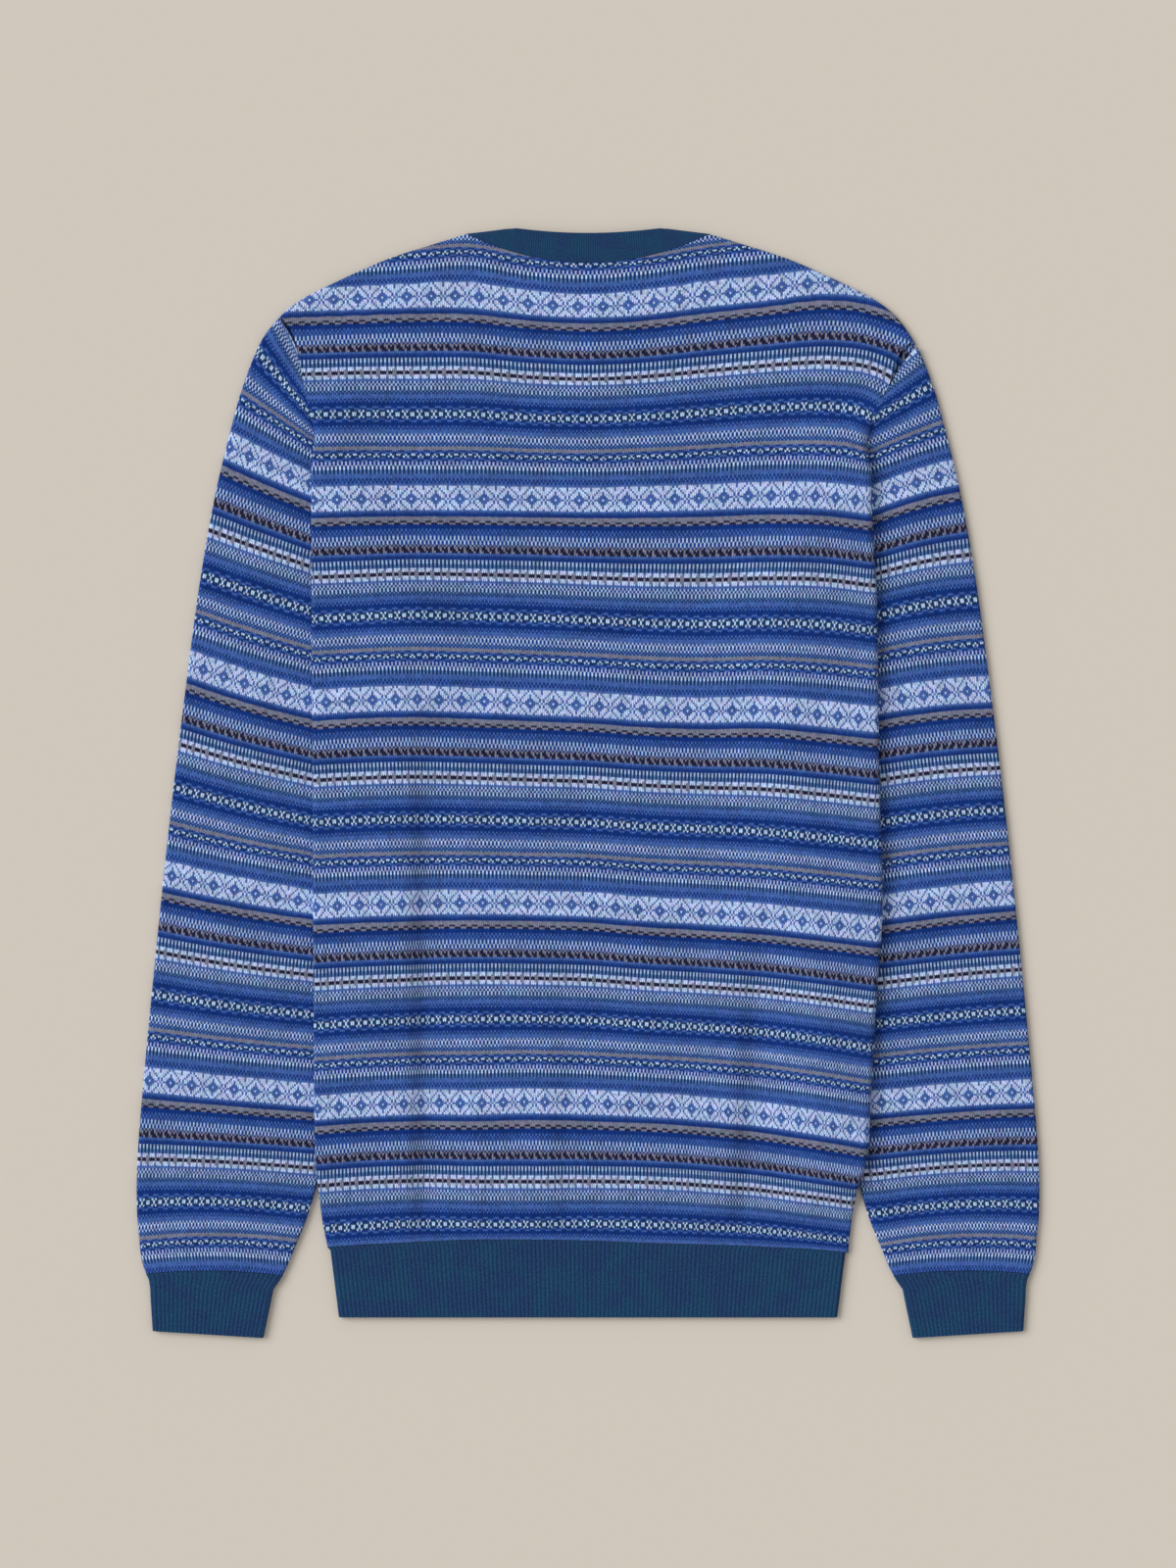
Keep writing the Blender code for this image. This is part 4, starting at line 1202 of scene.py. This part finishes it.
# %% The patterned knit
STITCH_LEAN = 0.75
DIGITS, LONGEST_REPEAT = 6, 16
ROUNDING = 0.004
STREAK = (0.09, 0.3)
STREAK_EDGES = (0.38, 0.62)
COOLER, WARMER = (0.93, 1.02, 1.00, 1.0), (1.05, 0.97, 1.02, 1.0)
# Where stitches and rows meet, and in each V's groove, the colour gets painted shade, and the same
# shares give the relief.
BETWEEN_STITCHES, BETWEEN_ROWS = (0.5, 1.0, 0.0, 0.6), (0.5, 1.0, 0.0, 0.3)
IN_THE_V = (0.32, 0.0, 0.0, 0.25)
SPECK, DARKEST_SPECK = 0.56, 0.84
WORN_SCALE, WORN = 0.35, (0.3, 0.7, -0.07, 0.07)


def repeat_number(row):
    """A row's repeat as a ramp's colour: its first six digits, the next six, and its length."""
    high, low = divmod(sum(1 << k for k, yarn in enumerate(row) if yarn != row[0]), 1 << DIGITS)
    return (low / (1 << DIGITS), high / (1 << DIGITS), len(row) / LONGEST_REPEAT)


knit, tree, shader = new_material("patterned_knit")
stitch, row_place = stitch_and_row()
from_middle = from_centre(stitch)
lean = maths("MULTIPLY", maths("SUBTRACT", from_middle, 0.5), STITCH_LEAN)
leaned = maths("ADD", row_place, lean)
row = maths("FLOORED_MODULO", maths("FLOOR", leaned), len(CHART))

figures = [next((yarn for yarn in line if yarn != line[0]), line[0]) for line in CHART]
ground = look_up(row, [from_screen(*YARNS[line[0]]) for line in CHART])
figure = look_up(row, [from_screen(*YARNS[yarn]) for yarn in figures])
parts = tree.nodes.new("ShaderNodeSeparateColor")
connect(look_up(row, [repeat_number(line) for line in CHART]), parts.inputs[0])

length = maths("ROUND", maths("MULTIPLY", parts.outputs[2], LONGEST_REPEAT))
column = maths("FLOORED_MODULO", maths("FLOOR", stitch), length)
late = maths("GREATER_THAN", column, DIGITS - 0.5)
first_six = maths("MULTIPLY", parts.outputs[0], maths("SUBTRACT", 1.0, late))
code = maths("MULTIPLY_ADD", parts.outputs[1], late, first_six)
digit = maths("MULTIPLY_ADD", late, -DIGITS, column)
power = maths("POWER", 2.0, maths("SUBTRACT", DIGITS, digit))
digits = maths("FLOOR", maths("MULTIPLY_ADD", code, power, ROUNDING))
colour = blend(maths("FLOORED_MODULO", digits, 2.0), ground, figure)

along_yarn = vector(maths("MULTIPLY", stitch, STREAK[0]), maths("MULTIPLY", row_place, STREAK[1]))
streaks = fit(noise(along_yarn, 1.0, 3.0, "2D"), *STREAK_EDGES, 0.0, 1.0)
colour = blend(1.0, colour, blend(streaks, COOLER, WARMER), "MULTIPLY")
# Painted shade: the gaps between stitches and rows and the V's groove darken the colour, and also
# give the bump's relief.
gap = fit(from_middle, *BETWEEN_STITCHES)
groove = fit(from_middle, *IN_THE_V)
row_gap = fit(from_centre(leaned), *BETWEEN_ROWS)
hollow = maths("ADD", maths("ADD", gap, groove), row_gap)
relief_and_shade = maths("SUBTRACT", 1.0, hollow)
speck = tree.nodes.new("ShaderNodeTexWhiteNoise")
speck.noise_dimensions = "2D"
number = vector(maths("FLOOR", stitch), maths("FLOOR", leaned))
connect(number, speck.inputs["Vector"])
bright = maths("MULTIPLY_ADD", speck.outputs["Value"], SPECK, DARKEST_SPECK)
worn = fit(noise(along_yarn, WORN_SCALE, 3.0, "2D"), *WORN)
bright = maths("MULTIPLY", maths("ADD", bright, worn), relief_and_shade)
finish_wool(colour, bright, relief_and_shade, strength=0.6, depth=0.15)
for piece in (back, front, *sleeves.values()):
    piece.data.materials.append(knit)
print(len(tree.nodes), "nodes in the patterned knit")

# %% [markdown]
# ## The rib's yarn
# The ribs are knitted in one heathered yarn, teal with some violet spun in. Its colour wanders
# along the ribs in short streaks, and the furrows between the ribs are darkened with painted shade.

# %% The ribbed knit
TEAL, VIOLET = (27, 65, 99), (30, 58, 98)
STREAKS_PER_METRE = 70.0
RIB_SPECK_SCALE, RIB_SPECK = 1.1, (0.25, 0.75, 0.76, 1.28)
FURROW_SHADE = (0.4, 1.0, 1.0, 0.72)
RIB_LEAN = 0.6

ribbed, tree, shader = new_material("ribbed_knit")
rib, rib_row = stitch_and_row()
own = tree.nodes.new("ShaderNodeTexCoord").outputs["Object"]
share = fit(noise(own, STREAKS_PER_METRE, 3.0), *STREAK_EDGES, 0.0, 1.0)
colour = blend(share, (*from_screen(*TEAL), 1.0), (*from_screen(*VIOLET), 1.0))
number = vector(maths("MULTIPLY", rib, 2.0), rib_row)
bright = fit(noise(number, RIB_SPECK_SCALE, 2.0, "2D"), *RIB_SPECK)
from_crest = from_centre(rib)
# Painted shade: the colour is darker in the furrows between the ribs.
bright = maths("MULTIPLY", bright, fit(from_crest, *FURROW_SHADE))
leaned = maths("MULTIPLY_ADD", from_crest, RIB_LEAN, rib_row)
finish_wool(colour, bright, from_centre(leaned), strength=0.5, depth=0.12)
for piece in (collar, hem, *cuffs.values()):
    piece.data.materials.append(ribbed)
print(len(tree.nodes), "nodes in the ribbed knit")

# %% [markdown]
# ## What each piece stands for
# Each piece rides on the jumper's one body and hides the plain solid that it replaces.


def declare(piece, node):
    """Ties a piece to the frame, and hides the plain solid that it replaces."""
    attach(piece, "root")
    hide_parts(node)


declare(front, "front")
declare(back, "back")
for side in SIDES:
    declare(sleeves[side], f"{side}_sleeve")
    declare(cuffs[side], f"{side}_cuff")
declare(hem, "hem_rib")
declare(collar, "collar")

# %% [markdown]
# ## Floor, light and camera
# The jumper lies on a plain pale floor under soft light from the upper left, and the camera
# looks straight down.

# %% Stage
FLOOR_SIZE, FLOOR_COLOUR = 6.0, (207, 199, 188)
ROOM_COLOUR, ROOM_LIGHT = (1.0, 0.99, 0.97, 1.0), 0.5
SUN_DIRECTION, SUN_POWER, SUN_SOFTNESS = (1.12, -0.42, -1.0), 2.0, 40.0
FRAME_HEIGHT, FRAME_MIDDLE_Y = 0.992, -1.24 * MM
LENS, SENSOR = 100.0, 36.0

bpy.ops.object.select_all(action="DESELECT")
bpy.ops.mesh.primitive_plane_add(size=FLOOR_SIZE, location=(0.0, 0.0, 0.0))
floor = bpy.context.object
floor.name = "floor"
floor_look, tree, shader = new_material("pale_floor")
shader.inputs["Base Color"].default_value = (*from_screen(*FLOOR_COLOUR), 1.0)
shader.inputs["Roughness"].default_value = 0.9
shader.inputs["Specular IOR Level"].default_value = 0.1
floor.data.materials.append(floor_look)

scene = bpy.context.scene
scene.view_settings.view_transform = "Standard"
world = bpy.data.worlds.new("soft_room")
world.use_nodes = True
room = world.node_tree.nodes["Background"].inputs
room["Color"].default_value = ROOM_COLOUR
room["Strength"].default_value = ROOM_LIGHT
scene.world = world
bpy.ops.object.light_add(type="SUN", location=(-1.0, 1.0, 2.0))
sun = bpy.context.object
sun.name = "window_light"
sun.data.energy = SUN_POWER
sun.data.angle = math.radians(SUN_SOFTNESS)
sun.rotation_euler = Vector(SUN_DIRECTION).to_track_quat("-Z", "Y").to_euler()
bpy.ops.object.camera_add(location=(0.0, FRAME_MIDDLE_Y, FRAME_HEIGHT * LENS / SENSOR))
camera = bpy.context.object
camera.data.lens = LENS
camera.data.sensor_width = SENSOR
camera.data.clip_end = 20.0
camera.rotation_euler = (0.0, 0.0, 0.0)
scene.camera = camera
